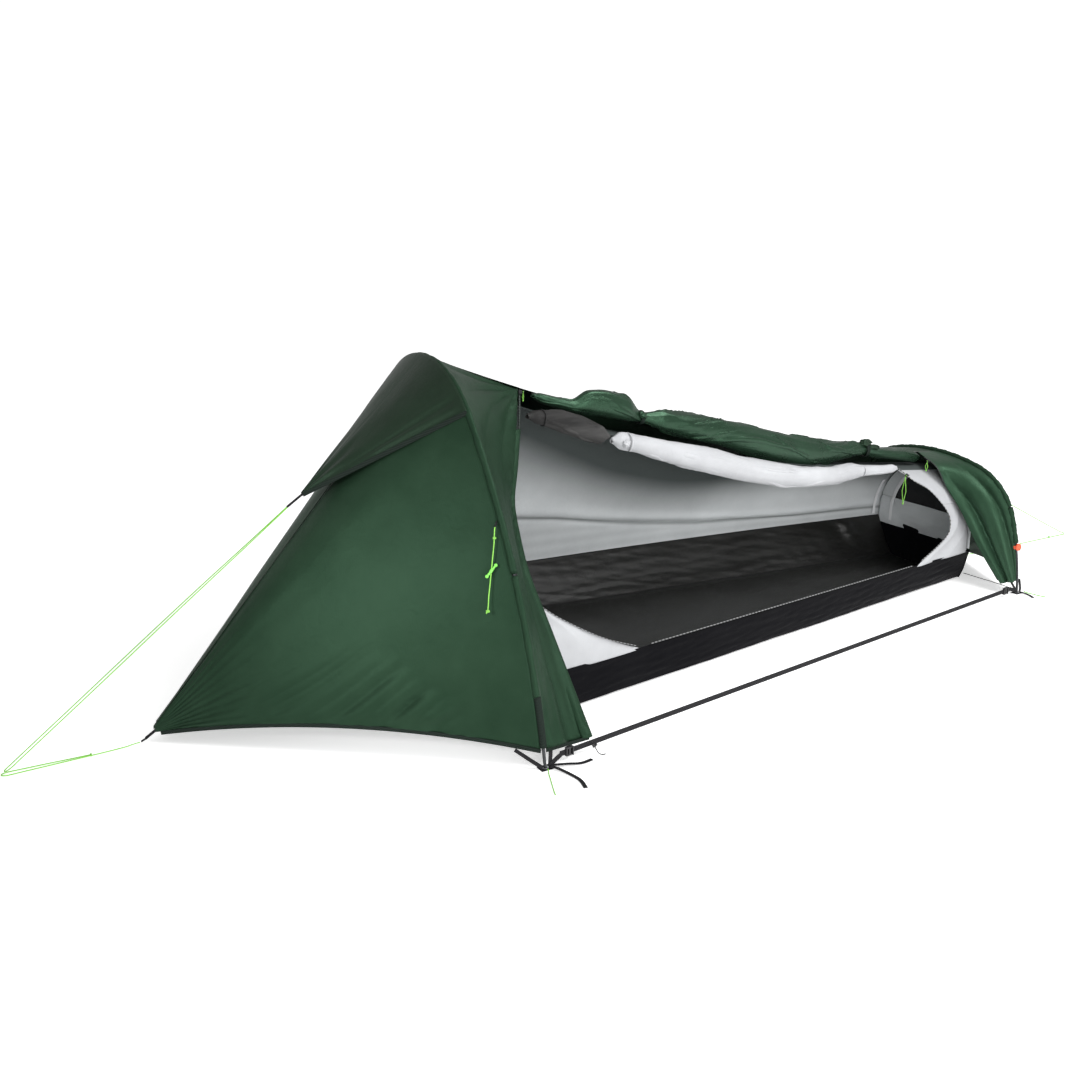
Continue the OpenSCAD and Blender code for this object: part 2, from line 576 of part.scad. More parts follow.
module foot_outline(inset) { polygon(arch_line(1, inset, 110)); }
module inner_foot_wall() {
    color("#a9afb4") place() translate([foot_wall_x, 0, 0]) rotate([90, 0, 90]) linear_extrude(wall_t)
        intersection() {
        foot_outline(6);
        translate([-400, 0]) square([800, mesh_z - 1]);
    }
}
module inner_foot_mesh() {
    color("#0d0e10") place() translate([foot_wall_x, 0, 0]) rotate([90, 0, 90]) linear_extrude(wall_t)
        intersection() {
        foot_outline(6);
        translate([-400, mesh_z]) square([800, 400]);
    }
}
// Edges of the D-shaped door opening: x for evenly spaced u, from the ridge to the rim
front_door_edge = [70, 70, 72, 76, 82, 95, 280, 505];
rear_door_edge = [1836, 1838, 1855, 1915, 1955, 1985, 1957, 1790];
function door_v(x) = (x - inner_x0) / inner_len;
near_out = [0, -seam_gap, 0];
module inner_front_corner() {
    color("#e4e6e8") place() sheet([for (i = [0 : 14]) [for (j = [0 : 3])
        inner_pt(i / 14, lerp(0.004, door_v(sample(front_door_edge, i / 14)), j / 3), -1) + near_out]],
            fabric_t);
}
module inner_rear_corner() {
    color("#e4e6e8") place() sheet([for (i = [0 : 14]) [for (j = [0 : 3])
        inner_pt(i / 14, lerp(door_v(sample(rear_door_edge, i / 14)), 0.99, j / 3), -1) + near_out]],
            fabric_t);
}
// Rolled inner door: a mesh bundle at the head and a hanging fabric roll,
// as [x, y, z, half height, half width]
mesh_roll = [[274, -84, 780, 15, 18], [320, -86, 771, 22, 20], [388, -88, 752, 33, 23],
             [456, -88, 728, 35, 24], [524, -88, 702, 28, 22], [552, -88, 692, 16, 16]];
door_roll = [[562, -88, 680, 18, 14], [600, -88, 675, 27, 18], [655, -88, 659, 27, 20], [712, -90, 640,
    33, 22],
    [830, -92, 606, 38, 24], [950, -94, 570, 42, 26], [1078, -94, 530, 42, 26], [1208, -94, 498, 41, 26],
    [1344, -92, 470, 37, 24], [1484, -90, 457, 31, 22], [1578, -88, 460, 30, 20], [1628, -86, 457, 20, 16],
    [1728, -84, 448, 17, 14], [1810, -80, 444, 15, 12]];
module bundle(stations, sides) {
    swept([for (s = stations) [s[0], s[1], s[2]]], [for (s = stations) [s[3], s[4]]], sides);
}
module inner_mesh_roll() { color("#6f7174") place() bundle(mesh_roll, 12); }
module inner_door_roll() { color("#f2f3f4") place() bundle(door_roll, 12); }
inner_tie_at = [[322, -86, 771, 28], [620, -88, 669, 34], [1630, -86, 457, 25]];
inner_tie_d = 3;
module inner_door_ties() {
    color("#d8dadc") place() for (t = inner_tie_at) translate([t[0], t[1], t[2]])
        rotate([0, 90, 0]) rotate_extrude($fn = 48) translate([t[3], 0]) circle(d = inner_tie_d, $fn = 16);
}
zip_d = 4;
zip_off = [0, -6, 3];
rear_zip_top = [[1838, -62, 437], [1856, -122, 401]];
function door_edge_pt(edge, u) = inner_pt(u, door_v(sample(edge, u)), -1) + near_out;
// Zip of the inner door: up the front edge, along the rim and up the rear edge
module inner_zip() {
    color("#d5d8da") place() {
        cord([for (i = [2 : 14]) door_edge_pt(front_door_edge, i / 14.3) + [7, -5, 0]], zip_d);
        bar(inner_pt(1, door_v(530), -1) + zip_off, inner_pt(1, door_v(1760), -1) + zip_off, 3, 6, 0);
        cord(concat(rear_zip_top, [for (i = [6 : 14]) door_edge_pt(rear_door_edge, i / 14.3)
            + [-7, -5, 0]]), zip_d);
    }
}
inner_slider_at = lerp(rear_zip_top[0], rear_zip_top[1], 0.6);
module inner_zip_slider() {
    color("#20262a") place() translate(inner_slider_at) zip_slider(rear_zip_top[1] - rear_zip_top[0], -1);
}
module inner_zip_pull() { color("#7bd34a") place() translate(inner_slider_at - [pin_at, 0, 0])
    zip_pull(105, 9); }
// Short hangers between the flysheet's ridge and the inner tent
hanger_x = [90, 1080, 2060];
module inner_hangers() {
    color("black") place() for (x = hanger_x) {
        z0 = ridge_z(x) - inner_drop + 3;
        translate([x - 6, 3, z0]) cube([12, 2, inner_drop - 22]);
        translate([x, 4, z0 + 14]) cube([16, 6, 5], center = true);
    }
}

// ---- Cords (routes are hand-chosen points)
side_line = [[-24, -440, 584], [-27, -443, 572], [-30, -447, 558], [-33, -451, 544], [-37, -455, 530],
    [-41, -459, 516],
    [-45, -463, 502], [-49, -467, 488], [-53, -471, 474], [-57, -475, 460], [-61, -479, 446],
        [-65, -483, 432],
    [-69, -487, 418], [-72, -491, 406], [-75, -495, 396], [-79, -499, 388], [-84, -502, 384]];
module side_line_near() { color("#8fe05a") place() cord(side_line, guy_d); }
module side_line_far() { color("#8fe05a") place() cord(mirrored(side_line), guy_d); }
bone_len = 36;
bone_end = 9;
bone_d = 5.5;
bone_hole = 4.2;
bone_at = [-51, -469, 481];
line_dir = side_line[9] - side_line[6];
// Dog-bone line tensioner, threaded on the side line
module tensioner(flip) {
    mirror([0, flip ? 1 : 0, 0]) translate(bone_at) difference() {
        rotate([0, 45, 0]) union() {
            cylinder(d = bone_d, h = bone_len, center = true, $fn = 24);
            for (s = [-1, 1]) translate([0, 0, s * bone_len / 2]) sphere(d = bone_end, $fn = 24);
            cylinder(d = bone_d + 2.5, h = 9, center = true, $fn = 24);
        }
        rotate([0, acos(line_dir[2] / norm(line_dir)), atan2(line_dir[1], line_dir[0])])
            cylinder(d = bone_hole, h = 40, center = true, $fn = 24);
    }
}
module tensioner_near() { color("#8fe05a") place() tensioner(false); }
module tensioner_far() { color("#8fe05a") place() tensioner(true); }

// Guyline from the hood's tip round its peg and back
hood_guy = [[-418, 2, 585], [-424, 3, 580], [-530, 5, 500], [-640, 7, 418], [-750, 8, 335], [-860, 9, 251],
    [-970, 9, 167], [-1070, 9, 91], [-1120, 9, 53], [-1145, 9, 34], [-1158, 9, 24], [-1168, 8, 17],
        [-1175, 5, 13],
    [-1178, 0, 12], [-1175, -5, 13], [-1168, -8, 17], [-1158, -9, 24], [-1145, -9, 34], [-1120, -9, 53],
    [-1070, -9, 91], [-970, -9, 167], [-860, -9, 251], [-750, -8, 335], [-640, -7, 418], [-530, -5, 500],
    [-424, -3, 580], [-418, -2, 585]];
// Line from the front corner's tab round the same peg and back to a knot on itself
ground_guy = [[-853, 0, 7], [-870, -1, 6], [-890, -2, 4], [-930, -3, 3], [-1000, -5, 3], [-1080, -7, 3],
    [-1130, -8, 3], [-1158, -9, 3], [-1172, -9, 3], [-1182, -6, 3], [-1186, 0, 3], [-1182, 6, 3],
        [-1172, 9, 3],
    [-1158, 9, 3], [-1130, 8, 3], [-1080, 6, 3], [-1020, 3, 3], [-975, 1, 3]];
module front_guyline() {
    color("#a5ea6b") place() {
        cord(hood_guy, guy_d);
        cord(ground_guy, guy_d);
    }
}
rear_guy = [[2163, 0, 404], [2168, 1, 401], [2250, 2, 353], [2360, 3, 298], [2470, 4, 243], [2580, 5, 188],
    [2690, 6, 135], [2800, 7, 82], [2880, 8, 44], [2925, 8, 23], [2945, 9, 14], [2956, 8, 9], [2963, 5, 6],
    [2966, 0, 5], [2963, -5, 4], [2956, -8, 3], [2940, -8, 3], [2860, -7, 3], [2740, -5, 3], [2620, -4, 3],
    [2500, -3, 3], [2400, -1, 5], [2353, 0, 8]];
module rear_guyline() { color("#a5ea6b") place() cord(rear_guy, guy_d); }
corner = [[143, -640, 37], [145, -644, 31], [147, -648, 25], [149, -652, 19], [151, -656, 13],
    [153, -659, 8],
    [156, -662, 5], [160, -664, 3], [165, -666, 3], [171, -667, 3]];
module corner_cord() { color("black") place() cord(corner, elastic_d); }
lock_at = corner[2];
lock_dir = corner[3] - corner[1];
// Cord lock: a barrel that runs on the cord, with a push button on its side
module cord_lock() {
    color("#26282a") place() translate(lock_at) rotate([0, acos(lock_dir[2] / norm(lock_dir)),
        atan2(lock_dir[1], lock_dir[0])])
        difference() {
            union() {
                cylinder(d = 10, h = 9, center = true, $fn = 32);
                rotate([0, -90, 0]) cylinder(d = 6, h = 9, $fn = 24);
            }
            cylinder(d = elastic_d + 1.8, h = 20, center = true, $fn = 24);
        }
}
elastic_route = [[2113, -181, 22], [2117, -200, 21], [2121, -222, 20], [2125, -244, 19], [2129, -266, 18],
    [2132, -288, 18], [2134, -310, 17], [2136, -332, 17], [2138, -350, 16], [2138, -366, 16]];
module elastic_near() { color("black") place() cord(elastic_route, elastic_d); }
module elastic_far() { color("black") place() cord(mirrored(elastic_route), elastic_d); }
foot_loop = [[-2, -666, 6], [-5, -674, 4], [-9, -682, 3], [-13, -692, 2], [-17, -702, 2], [-22, -714, 2],
    [-27, -726, 2], [-32, -738, 2], [-37, -750, 2], [-41, -760, 2], [-45, -770, 2], [-47, -778, 2]];
module foot_loops() {
    color("#a5ea6b") place() {
        cord(foot_loop, guy_d);
        cord(mirrored(foot_loop), guy_d);
    }
}
rear_line = [[hoop_gap + 24, -402, 5], [hoop_gap + 28, -410, 3], [hoop_gap + 31, -418, 2],
    [hoop_gap + 34, -430, 2],
    [hoop_gap + 36, -442, 2], [hoop_gap + 39, -454, 2], [hoop_gap + 43, -464, 2], [hoop_gap + 48, -474, 2]];
module rear_foot_line() { color("#a5ea6b") place() cord(rear_line, guy_d); }
// Round hook disc that holds the rear panel's tie to the rear pole
disc_z = 175;
module hook_disc() {
    a = foot_slope(rear_h, rear_arcs, disc_z);
    p = hoop_yz(rear_h, rear_arcs, a);
    color("#d8432c") place() rear_place() translate([0, -p[0], p[1]]) rotate([a - 90, 0, 0]) difference() {
        union() {
            cylinder(d = 21, h = 11, center = true, $fn = 48);
            rotate([90, 0, 0]) translate([0, 0, 8]) cylinder(d = 26, h = 4, $fn = 48);
        }
        cylinder(d = pole_d + 1.2, h = 20, center = true, $fn = 32);
    }
}

front_pole();
rear_pole();
pole_ferrules();
shock_cords();
pole_tips();
foot_eyelets();
front_sleeve();
rear_sleeve();
vestibule_near();
vestibule_far();
hood();
side_panel();
far_panel();
rear_side_panel();
end_panel_near();
end_panel_far();
fly_door_roll();
fly_door_ties();
fly_zip_tape();
fly_zip_slider();
fly_zip_pull();
fly_rear_slider();
fly_rear_pull();
webbing_tabs();
hem_binding();
foot_webbing();
ground_strap_near();
ground_strap_far();
ladder_lock_front_near();
ladder_lock_front_far();
ladder_lock_rear_near();
ladder_lock_rear_far();
strap_tails();
tub_floor();
inner_far_wall();
inner_head_wall();
inner_foot_wall();
inner_foot_mesh();
inner_front_corner();
inner_rear_corner();
inner_mesh_roll();
inner_door_roll();
inner_door_ties();
inner_zip();
inner_zip_slider();
inner_zip_pull();
inner_hangers();
tensioner_near();
tensioner_far();
side_line_near();
side_line_far();
front_guyline();
rear_guyline();
corner_cord();
cord_lock();
elastic_near();
elastic_far();
foot_loops();
rear_foot_line();
hook_disc();
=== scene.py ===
"""One-person two-hoop bivy tent, pitched, with its long side doors rolled up along the ridge."""
import math

import bpy
import numpy as np
from mathutils import Matrix, Vector


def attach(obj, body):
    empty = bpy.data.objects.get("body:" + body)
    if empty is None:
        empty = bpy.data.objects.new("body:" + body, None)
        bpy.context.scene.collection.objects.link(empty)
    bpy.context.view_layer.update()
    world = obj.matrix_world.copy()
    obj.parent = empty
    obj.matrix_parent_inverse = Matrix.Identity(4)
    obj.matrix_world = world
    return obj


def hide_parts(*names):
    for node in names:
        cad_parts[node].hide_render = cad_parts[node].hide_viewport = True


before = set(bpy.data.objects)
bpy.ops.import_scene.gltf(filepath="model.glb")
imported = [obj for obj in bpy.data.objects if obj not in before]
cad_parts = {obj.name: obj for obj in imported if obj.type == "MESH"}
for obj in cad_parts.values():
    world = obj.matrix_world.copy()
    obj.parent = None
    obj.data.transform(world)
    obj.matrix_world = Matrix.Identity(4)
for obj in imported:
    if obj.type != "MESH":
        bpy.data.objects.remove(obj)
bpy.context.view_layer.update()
TENT = "tent"
MM = 0.001

# ---------------------------------------------------------------- dimensions, as in the CAD (mm)
HOOP_GAP = 2150
FRONT_H, FRONT_HALF = 958, 649
REAR_H, REAR_HALF, REAR_LEAN = 465, 390, 5.6
HEM_Z = 49
RIDGE_SAG = 85
REACH, CORNER_Z, HEM_LIFT = 826, 30, 45
HOOD_REACH, HOOD_TIP_Z = 378, 615
TAB_X = (-850, 2350)
MID_X = sum(TAB_X) / 2
INNER_X = (52, 2108)
INNER_DROP = 55
SEAM = 2
PANEL_DX = 7


# ---------------------------------------------------------------- small maths
def sin(a):
    return math.sin(math.radians(a))


def cos(a):
    return math.cos(math.radians(a))


def lerp(a, b, t):
    return a * (1 - t) + b * t


def vec(*xyz):
    return np.array(xyz, float)


def bump(t):
    return 4 * t * (1 - t)


def ease(t, low=0.0, high=1.0):
    t = np.clip((t - low) / (high - low), 0, 1)
    return t * t * (3 - 2 * t)


def spline_at(p, i, t):
    """A Catmull-Rom curve at t between its points i and i + 1."""
    return 0.5 * (2 * p[i] + (p[i + 1] - p[i - 1]) * t
                  + (2 * p[i - 1] - 5 * p[i] + 4 * p[i + 1] - p[i + 2]) * t * t
                  + (3 * p[i] - p[i - 1] - 3 * p[i + 1] + p[i + 2]) * t ** 3)


def extended(p):
    """The points with one more in line at each end."""
    return np.vstack([2 * p[0] - p[1], p, 2 * p[-1] - p[-2]])


def smooth_path(points, steps=6):
    """A smooth curve through the points, in short steps."""
    p = extended(np.asarray(points, float))
    out = [spline_at(p, i, s / steps) for i in range(1, len(p) - 2) for s in range(steps)]
    return np.array(out + [p[-2]])


def smooth_sample(rows, t):
    """The point at t from 0 to 1 of a smooth curve through evenly spaced rows."""
    p = np.asarray(rows, float).reshape(len(rows), -1)
    at = min(max(t, 0), 1) * (len(p) - 1)
    i = min(int(at), len(p) - 2) + 1
    return spline_at(extended(p), i, at - (i - 1))


def ripple(x, y, seed, octaves=3, gain=0.5):
    """Smooth, repeatable unevenness between about -1 and 1, from a few crossed waves."""
    rng = np.random.default_rng(seed)
    total, norm = 0.0, 0.0
    for k in range(octaves):
        for _ in range(4):
            a = rng.uniform(0, 2 * math.pi)
            f = rng.uniform(0.7, 1.3) * 2 ** k
            wave = f * (x * math.cos(a) + y * math.sin(a)) + rng.uniform(0, 6.3)
            total = total + gain ** k * np.sin(wave)
        norm += gain ** k * 2
    return total / norm


def crease(x):
    """A row of soft ridges with sharper valleys, from a plain wave's argument."""
    return 1 - 2 * np.abs(np.sin(x)) ** 0.7


# ---------------------------------------------------------------- hoop outlines
def solve2(a, b, c, d, p, q):
    det = a * d - b * c
    return (p * d - b * q) / det, (a * q - c * p) / det


class Hoop:
    """A hoop as arcs [radius, first slope, last slope] from its crown down to its foot."""

    def __init__(self, height, arcs):
        self.h, self.arcs = height, arcs
        self.starts = [(0.0, float(height))]
        for r, a, b in arcs:
            y, z = self.starts[-1]
            self.starts.append((y + r * (sin(b) - sin(a)), z - r * (cos(a) - cos(b))))
        self.centres = [(y - r * sin(a), z - r * cos(a)) for (y, z), (r, a, b) in zip(self.starts, arcs)]

    def yz(self, slope, out=0.0):
        i = next((k for k, arc in enumerate(self.arcs) if slope <= arc[2]), len(self.arcs) - 1)
        (cy, cz), r = self.centres[i], self.arcs[i][0] + out
        return cy + r * sin(slope), cz + r * cos(slope)

    def slope_at(self, distance):
        for r, a, b in self.arcs[:-1]:
            length = math.radians(b - a) * r
            if distance <= length:
                return a + math.degrees(distance / r)
            distance -= length
        r, a, b = self.arcs[-1]
        return a + math.degrees(distance / r)

    def length_to(self, slope):
        return sum(max(0, min(slope, b) - a) * math.pi / 180 * r for r, a, b in self.arcs)

    def foot_slope(self, z):
        return math.degrees(math.acos((z - self.centres[-1][1]) / self.arcs[-1][0]))


r1, r2 = solve2(sin(50), sin(80) - sin(50), 1 - cos(50), cos(50) - cos(80), FRONT_HALF, FRONT_H)
front = Hoop(FRONT_H, [(r1, 0, 50), (r2, 50, 80)])
CROWN_R = 750
r3, r4 = solve2(sin(75) - sin(15), 1 - sin(75), cos(15) - cos(75), cos(75),
                REAR_HALF - CROWN_R * sin(15), REAR_H - CROWN_R * (1 - cos(15)))
rear = Hoop(REAR_H, [(CROWN_R, 0, 15), (r3, 15, 75), (r4, 75, 90)])
FRONT_HEM = front.length_to(front.foot_slope(HEM_Z))
REAR_HEM = rear.length_to(rear.foot_slope(HEM_Z))


def lean(dx, y, z):
    """From the rear hoop's own plane to the tent, where the hoop leans towards the head."""
    c, s = cos(REAR_LEAN), sin(REAR_LEAN)
    return vec(HOOP_GAP + dx * c - z * s, y, z * c + dx * s)


def front_pt(u, side, dx=0.0, out=0.0):
    """A point of the fabric line on the front hoop: u is 0 at the ridge and 1 at the hem."""
    y, z = front.yz(front.slope_at(u * FRONT_HEM), out)
    return vec(dx, side * y, z)


def rear_pt(u, side, dx=0.0, out=0.0):
    y, z = rear.yz(rear.slope_at(u * REAR_HEM), out)
    return lean(dx, side * y, z)


def ridge_z(x):
    t = x / HOOP_GAP
    return lerp(FRONT_H, REAR_H, t) - RIDGE_SAG * bump(t)


def place(points):
    """From the tent's own millimetres to the row frame, in metres."""
    return (np.asarray(points, float) - (MID_X, 0, 0)) * MM


# ---------------------------------------------------------------- camera, floor and light
def add_object(name, data):
    made = bpy.data.objects.new(name, data)
    bpy.context.collection.objects.link(made)
    return made


def make_camera():
    yaw, pitch = 1.040, -0.296
    ahead = Vector((math.cos(pitch) * math.cos(yaw), math.cos(pitch) * math.sin(yaw), math.sin(pitch)))
    right = Vector((math.sin(yaw), -math.cos(yaw), 0))
    turn = Matrix((right, right.cross(ahead), -ahead)).transposed().to_4x4()
    data = bpy.data.cameras.new("camera")
    data.lens = 37.23
    data.sensor_width = 36
    camera = add_object("camera", data)
    camera.matrix_world = Matrix.Translation((-2.039, -2.819, 1.371)) @ turn
    bpy.context.scene.camera = camera


def add_lamp(name, kind, at, target, power, **settings):
    data = bpy.data.lights.new(name, kind)
    data.energy = power
    for key, value in settings.items():
        setattr(data, key, value)
    lamp = add_object(name, data)
    lamp.location = at
    lamp.rotation_euler = (Vector(target) - Vector(at)).to_track_quat("-Z", "Y").to_euler()


def area_light(name, at, target, size, power):
    add_lamp(name, "AREA", at, target, power, shape="RECTANGLE", size=size[0], size_y=size[1])


def spot_light(name, at, target, cone, power):
    """A soft-edged lamp whose pool of light fades out towards the cone's edge."""
    add_lamp(name, "SPOT", at, target, power, spot_size=math.radians(cone), spot_blend=1.0,
             shadow_soft_size=0.25)


def make_stage():
    """A plain pale floor, a white backdrop, two soft lamps and two soft pools of light."""
    mesh = bpy.data.meshes.new("floor")
    mesh.from_pydata([(-40, -40, 0), (40, -40, 0), (40, 40, 0), (-40, 40, 0)], [], [(0, 1, 2, 3)])
    floor = add_object("floor", mesh)
    paint, tree, shader = new_material("floor")
    fill(tree, shader, {"Base Color": (0.94, 0.94, 0.94, 1), "Roughness": 0.9,
                        "Emission Color": (1, 1, 1, 1), "Emission Strength": 0.48})
    mesh.materials.append(paint)
    world = bpy.data.worlds.new("studio")
    world.use_nodes = True
    tree = world.node_tree
    soft = tree.nodes["Background"]
    fill(tree, soft, {"Color": (1, 1, 1, 1), "Strength": 0.60})
    backdrop = node(tree, "Background", {"Color": (1, 1, 1, 1), "Strength": 1.05})
    seen = node(tree, "LightPath").outputs["Is Camera Ray"]
    both = node(tree, "MixShader", {"Fac": seen, 1: soft.outputs[0], 2: backdrop.outputs[0]})
    fill(tree, tree.nodes["World Output"], {"Surface": both.outputs["Shader"]})
    bpy.context.scene.world = world
    area_light("key", (1.6, -2.4, 3.8), (0.1, 0, 0.3), (2.4, 1.6), 150)
    area_light("door_side", (-0.5, -4.2, 0.9), (0.4, 0.2, 0.3), (2.6, 0.8), 85)
    spot_light("vestibule_pool", (-2.75, -1.05, 1.25), (-1.11, -0.36, 0.44), 28, 146)
    spot_light("door_pool", (0.2, -2.6, 1.1), (0.5, 0.35, 0.28), 23, 52)


# ---------------------------------------------------------------- materials
def fill(tree, made, inputs):
    """Sets a node's inputs, each to a value or to another node's output."""
    for key, value in inputs.items():
        if isinstance(value, bpy.types.NodeSocket):
            tree.links.new(value, made.inputs[key])
        else:
            made.inputs[key].default_value = value


def node(tree, kind, inputs=None, **settings):
    made = tree.nodes.new("ShaderNode" + kind)
    for key, value in settings.items():
        setattr(made, key, value)
    fill(tree, made, inputs or {})
    return made


WAVE_SPAN = 0.314  # a wave texture of scale 1 repeats every 0.314 m


def new_material(name):
    """A material with its tree and surface."""
    made = bpy.data.materials.new(name)
    made.use_nodes = True
    return made, made.node_tree, made.node_tree.nodes["Principled BSDF"]


def maths(tree, operation, *values):
    return node(tree, "Math", dict(enumerate(values)), operation=operation).outputs[0]


def bands(tree, uv, pitch, axis):
    """Bands across the piece's own UVs that repeat at a pitch in metres."""
    wave = node(tree, "TexWave", {"Vector": uv, "Scale": WAVE_SPAN / pitch}, bands_direction=axis)
    return wave.outputs["Fac"]


def tinted(tree, pattern, low, high, at=(0.3, 0.7)):
    """A colour that runs from low to high between two levels of a pattern."""
    ramp = node(tree, "ValToRGB", {"Fac": pattern})
    for stop, level, colour in zip(ramp.color_ramp.elements, at, (low, high)):
        stop.position = level
        stop.color = (*colour, 1)
    return ramp.outputs["Color"]


def mixed(tree, colour, other, share, blend="MIX"):
    made = node(tree, "Mix", {"Factor": share, "A": colour, "B": other}, data_type="RGBA", blend_type=blend)
    return made.outputs["Result"]


def raised(tree, height, strength, distance):
    return node(tree, "Bump", {"Height": height, "Strength": strength, "Distance": distance})


def patterned(tree, shader, pattern, low, high, at, strength, distance, surface):
    """Colours and raises a surface by one pattern."""
    colour = tinted(tree, pattern, low, high, at)
    bumps = raised(tree, pattern, strength, distance)
    fill(tree, shader, {"Base Color": colour, "Normal": bumps.outputs["Normal"], **surface})


def cloth(name, low, high, rough, thread=0.0012, grid=0.0, glow=0.0, soft=6.0, shine=0.3,
          tint_gloss=None, uses_painted_shade=False, painted_sheen_streak=(1, 1, 1)):
    """Woven cloth: thread is the weave's pitch and grid the ripstop squares, in metres of the piece's UVs.

    The cloth can also take painted shade: its colour is then mixed towards a dark grey by a per-point
    attribute of the piece."""
    made, tree, shader = new_material(name)
    where = node(tree, "TexCoord").outputs
    # Stretching the colour noise draws it into streaks: painted highlights on the rolled mesh.
    drawn_out = node(tree, "VectorMath", {0: where["Object"], 1: painted_sheen_streak}, operation="MULTIPLY")
    noise = node(tree, "TexNoise", {"Vector": drawn_out.outputs["Vector"], "Scale": soft, "Detail": 5.0,
                                    "Roughness": 0.6})
    blotch = noise.outputs["Fac"]
    colour = tinted(tree, blotch, low, high)
    height = maths(tree, "MULTIPLY", *[bands(tree, where["UV"], thread, axis) for axis in "XY"])
    if grid:
        for axis in "XY":
            square = {"Value": bands(tree, where["UV"], grid, axis), "From Min": 0.965, "From Max": 0.995}
            line = node(tree, "MapRange", square).outputs["Result"]
            height = maths(tree, "ADD", height, line)
            colour = mixed(tree, colour, (0.80, 0.80, 0.80, 1), line, "MULTIPLY")
    # Painted shade: the colour is mixed towards dark grey by the piece's per-point shade attribute.
    if uses_painted_shade:
        painted_shade = node(tree, "Attribute", attribute_name="painted_shade").outputs["Fac"]
        colour = mixed(tree, colour, (0.070, 0.082, 0.080, 1), painted_shade)
    crumple = node(tree, "TexNoise", {"Vector": where["Object"], "Scale": 26.0, "Detail": 4.0,
                                      "Roughness": 0.55, "Distortion": 0.6})
    creased = raised(tree, crumple.outputs["Fac"], 0.35, 0.0035)
    weave = raised(tree, height, 0.3, 0.0002)
    fill(tree, creased, {"Normal": weave.outputs["Normal"]})
    normal = creased.outputs["Normal"]
    rub = node(tree, "MapRange", {"Value": blotch, "To Min": max(rough - 0.08, 0.05),
                                  "To Max": min(rough + 0.08, 1.0)})
    fill(tree, shader, {"Base Color": colour, "Normal": normal, "Roughness": rub.outputs["Result"],
                        "Specular IOR Level": shine})
    if tint_gloss:
        fill(tree, shader, {"Specular Tint": (*tint_gloss, 1)})
    if glow:
        through = node(tree, "BsdfTranslucent", {"Color": colour, "Normal": normal})
        both = node(tree, "MixShader", {"Fac": glow, 1: shader.outputs["BSDF"], 2: through.outputs["BSDF"]})
        fill(tree, tree.nodes["Material Output"], {"Surface": both.outputs["Shader"]})
    return made


def webbing(name, low, high):
    """Narrow woven tape with diagonal ribs."""
    made, tree, shader = new_material(name)
    where = node(tree, "TexCoord").outputs["Object"]
    rib = node(tree, "TexWave", {"Vector": where, "Scale": 130.0, "Distortion": 0.6},
               bands_direction="DIAGONAL")
    patterned(tree, shader, rib.outputs["Fac"], low, high, (0.2, 0.9), 0.6, 0.0006,
              {"Roughness": 0.72, "Specular IOR Level": 0.1})
    return made


def braid(name, low, high):
    """Braided cord: fine diagonal bands crossed with a fine check."""
    made, tree, shader = new_material(name)
    where = node(tree, "TexCoord").outputs["Object"]
    rib = node(tree, "TexWave", {"Vector": where, "Scale": 260.0, "Distortion": 0.4},
               bands_direction="DIAGONAL")
    check = node(tree, "TexChecker", {"Vector": where, "Scale": 420.0})
    both = maths(tree, "MULTIPLY_ADD", check.outputs["Fac"], 0.35, rib.outputs["Fac"])
    patterned(tree, shader, both, low, high, (0.1, 0.9), 0.5, 0.0004,
              {"Roughness": 0.6, "Specular IOR Level": 0.15})
    return made


def moulded(name, low, high, rough=0.45, grain=380.0, metal=0.0, strength=0.25):
    """Moulded plastic, or metal with a fine grain."""
    made, tree, shader = new_material(name)
    where = node(tree, "TexCoord").outputs["Object"]
    speck = node(tree, "TexNoise", {"Vector": where, "Scale": grain, "Detail": 3.0})
    patterned(tree, shader, speck.outputs["Fac"], low, high, (0.3, 0.7), strength, 0.0003,
              {"Roughness": rough, "Metallic": metal})
    return made


def coil(name, low, high, pitch=0.009):
    """A zip: light teeth on a darker tape, repeated along the piece's own UVs."""
    made, tree, shader = new_material(name)
    teeth = bands(tree, node(tree, "TexCoord").outputs["UV"], pitch, "X")
    patterned(tree, shader, teeth, low, high, (0.25, 0.6), 0.7, 0.001, {"Roughness": 0.55})
    return made


def mesh_cloth(name):
    """Insect mesh: black threads with small see-through holes."""
    made, tree, shader = new_material(name)
    uv = node(tree, "TexCoord").outputs["UV"]
    threads = maths(tree, "MAXIMUM", *[bands(tree, uv, 0.0018, axis) for axis in "XY"])
    opaque = node(tree, "MapRange", {"Value": threads, "From Min": 0.30, "From Max": 0.45, "To Min": 0.35})
    fill(tree, shader, {"Base Color": (0.012, 0.012, 0.014, 1), "Roughness": 0.7,
                        "Alpha": opaque.outputs["Result"]})
    return made


GREEN_GLOSS = (0.50, 1.0, 0.64)
FLY = cloth("fly_cloth", (0.0125, 0.030, 0.0165), (0.019, 0.042, 0.024), 0.42, 0.0009, 0.006,
            glow=0.14, shine=0.16, tint_gloss=GREEN_GLOSS)
# A darker copy of the fly cloth: painted shade for the hood's shaded side and the rear tie, and dark seams.
FLY_SHADE_AND_SEAMS = cloth("fly_cloth_painted_shade_and_seams", (0.010, 0.019, 0.011), (0.015, 0.028, 0.017), 0.40, 0.0009, 0.006,
                 shine=0.2, tint_gloss=(0.6, 1.0, 0.72))
# A lighter copy of the fly cloth: painted light for the rear side panel's lit folds.
FLY_PAINTED_LIGHT = cloth("fly_cloth_painted_light", (0.018, 0.043, 0.024), (0.031, 0.068, 0.040), 0.34, 0.0009, 0.006,
                  glow=0.14, shine=0.30, tint_gloss=GREEN_GLOSS)
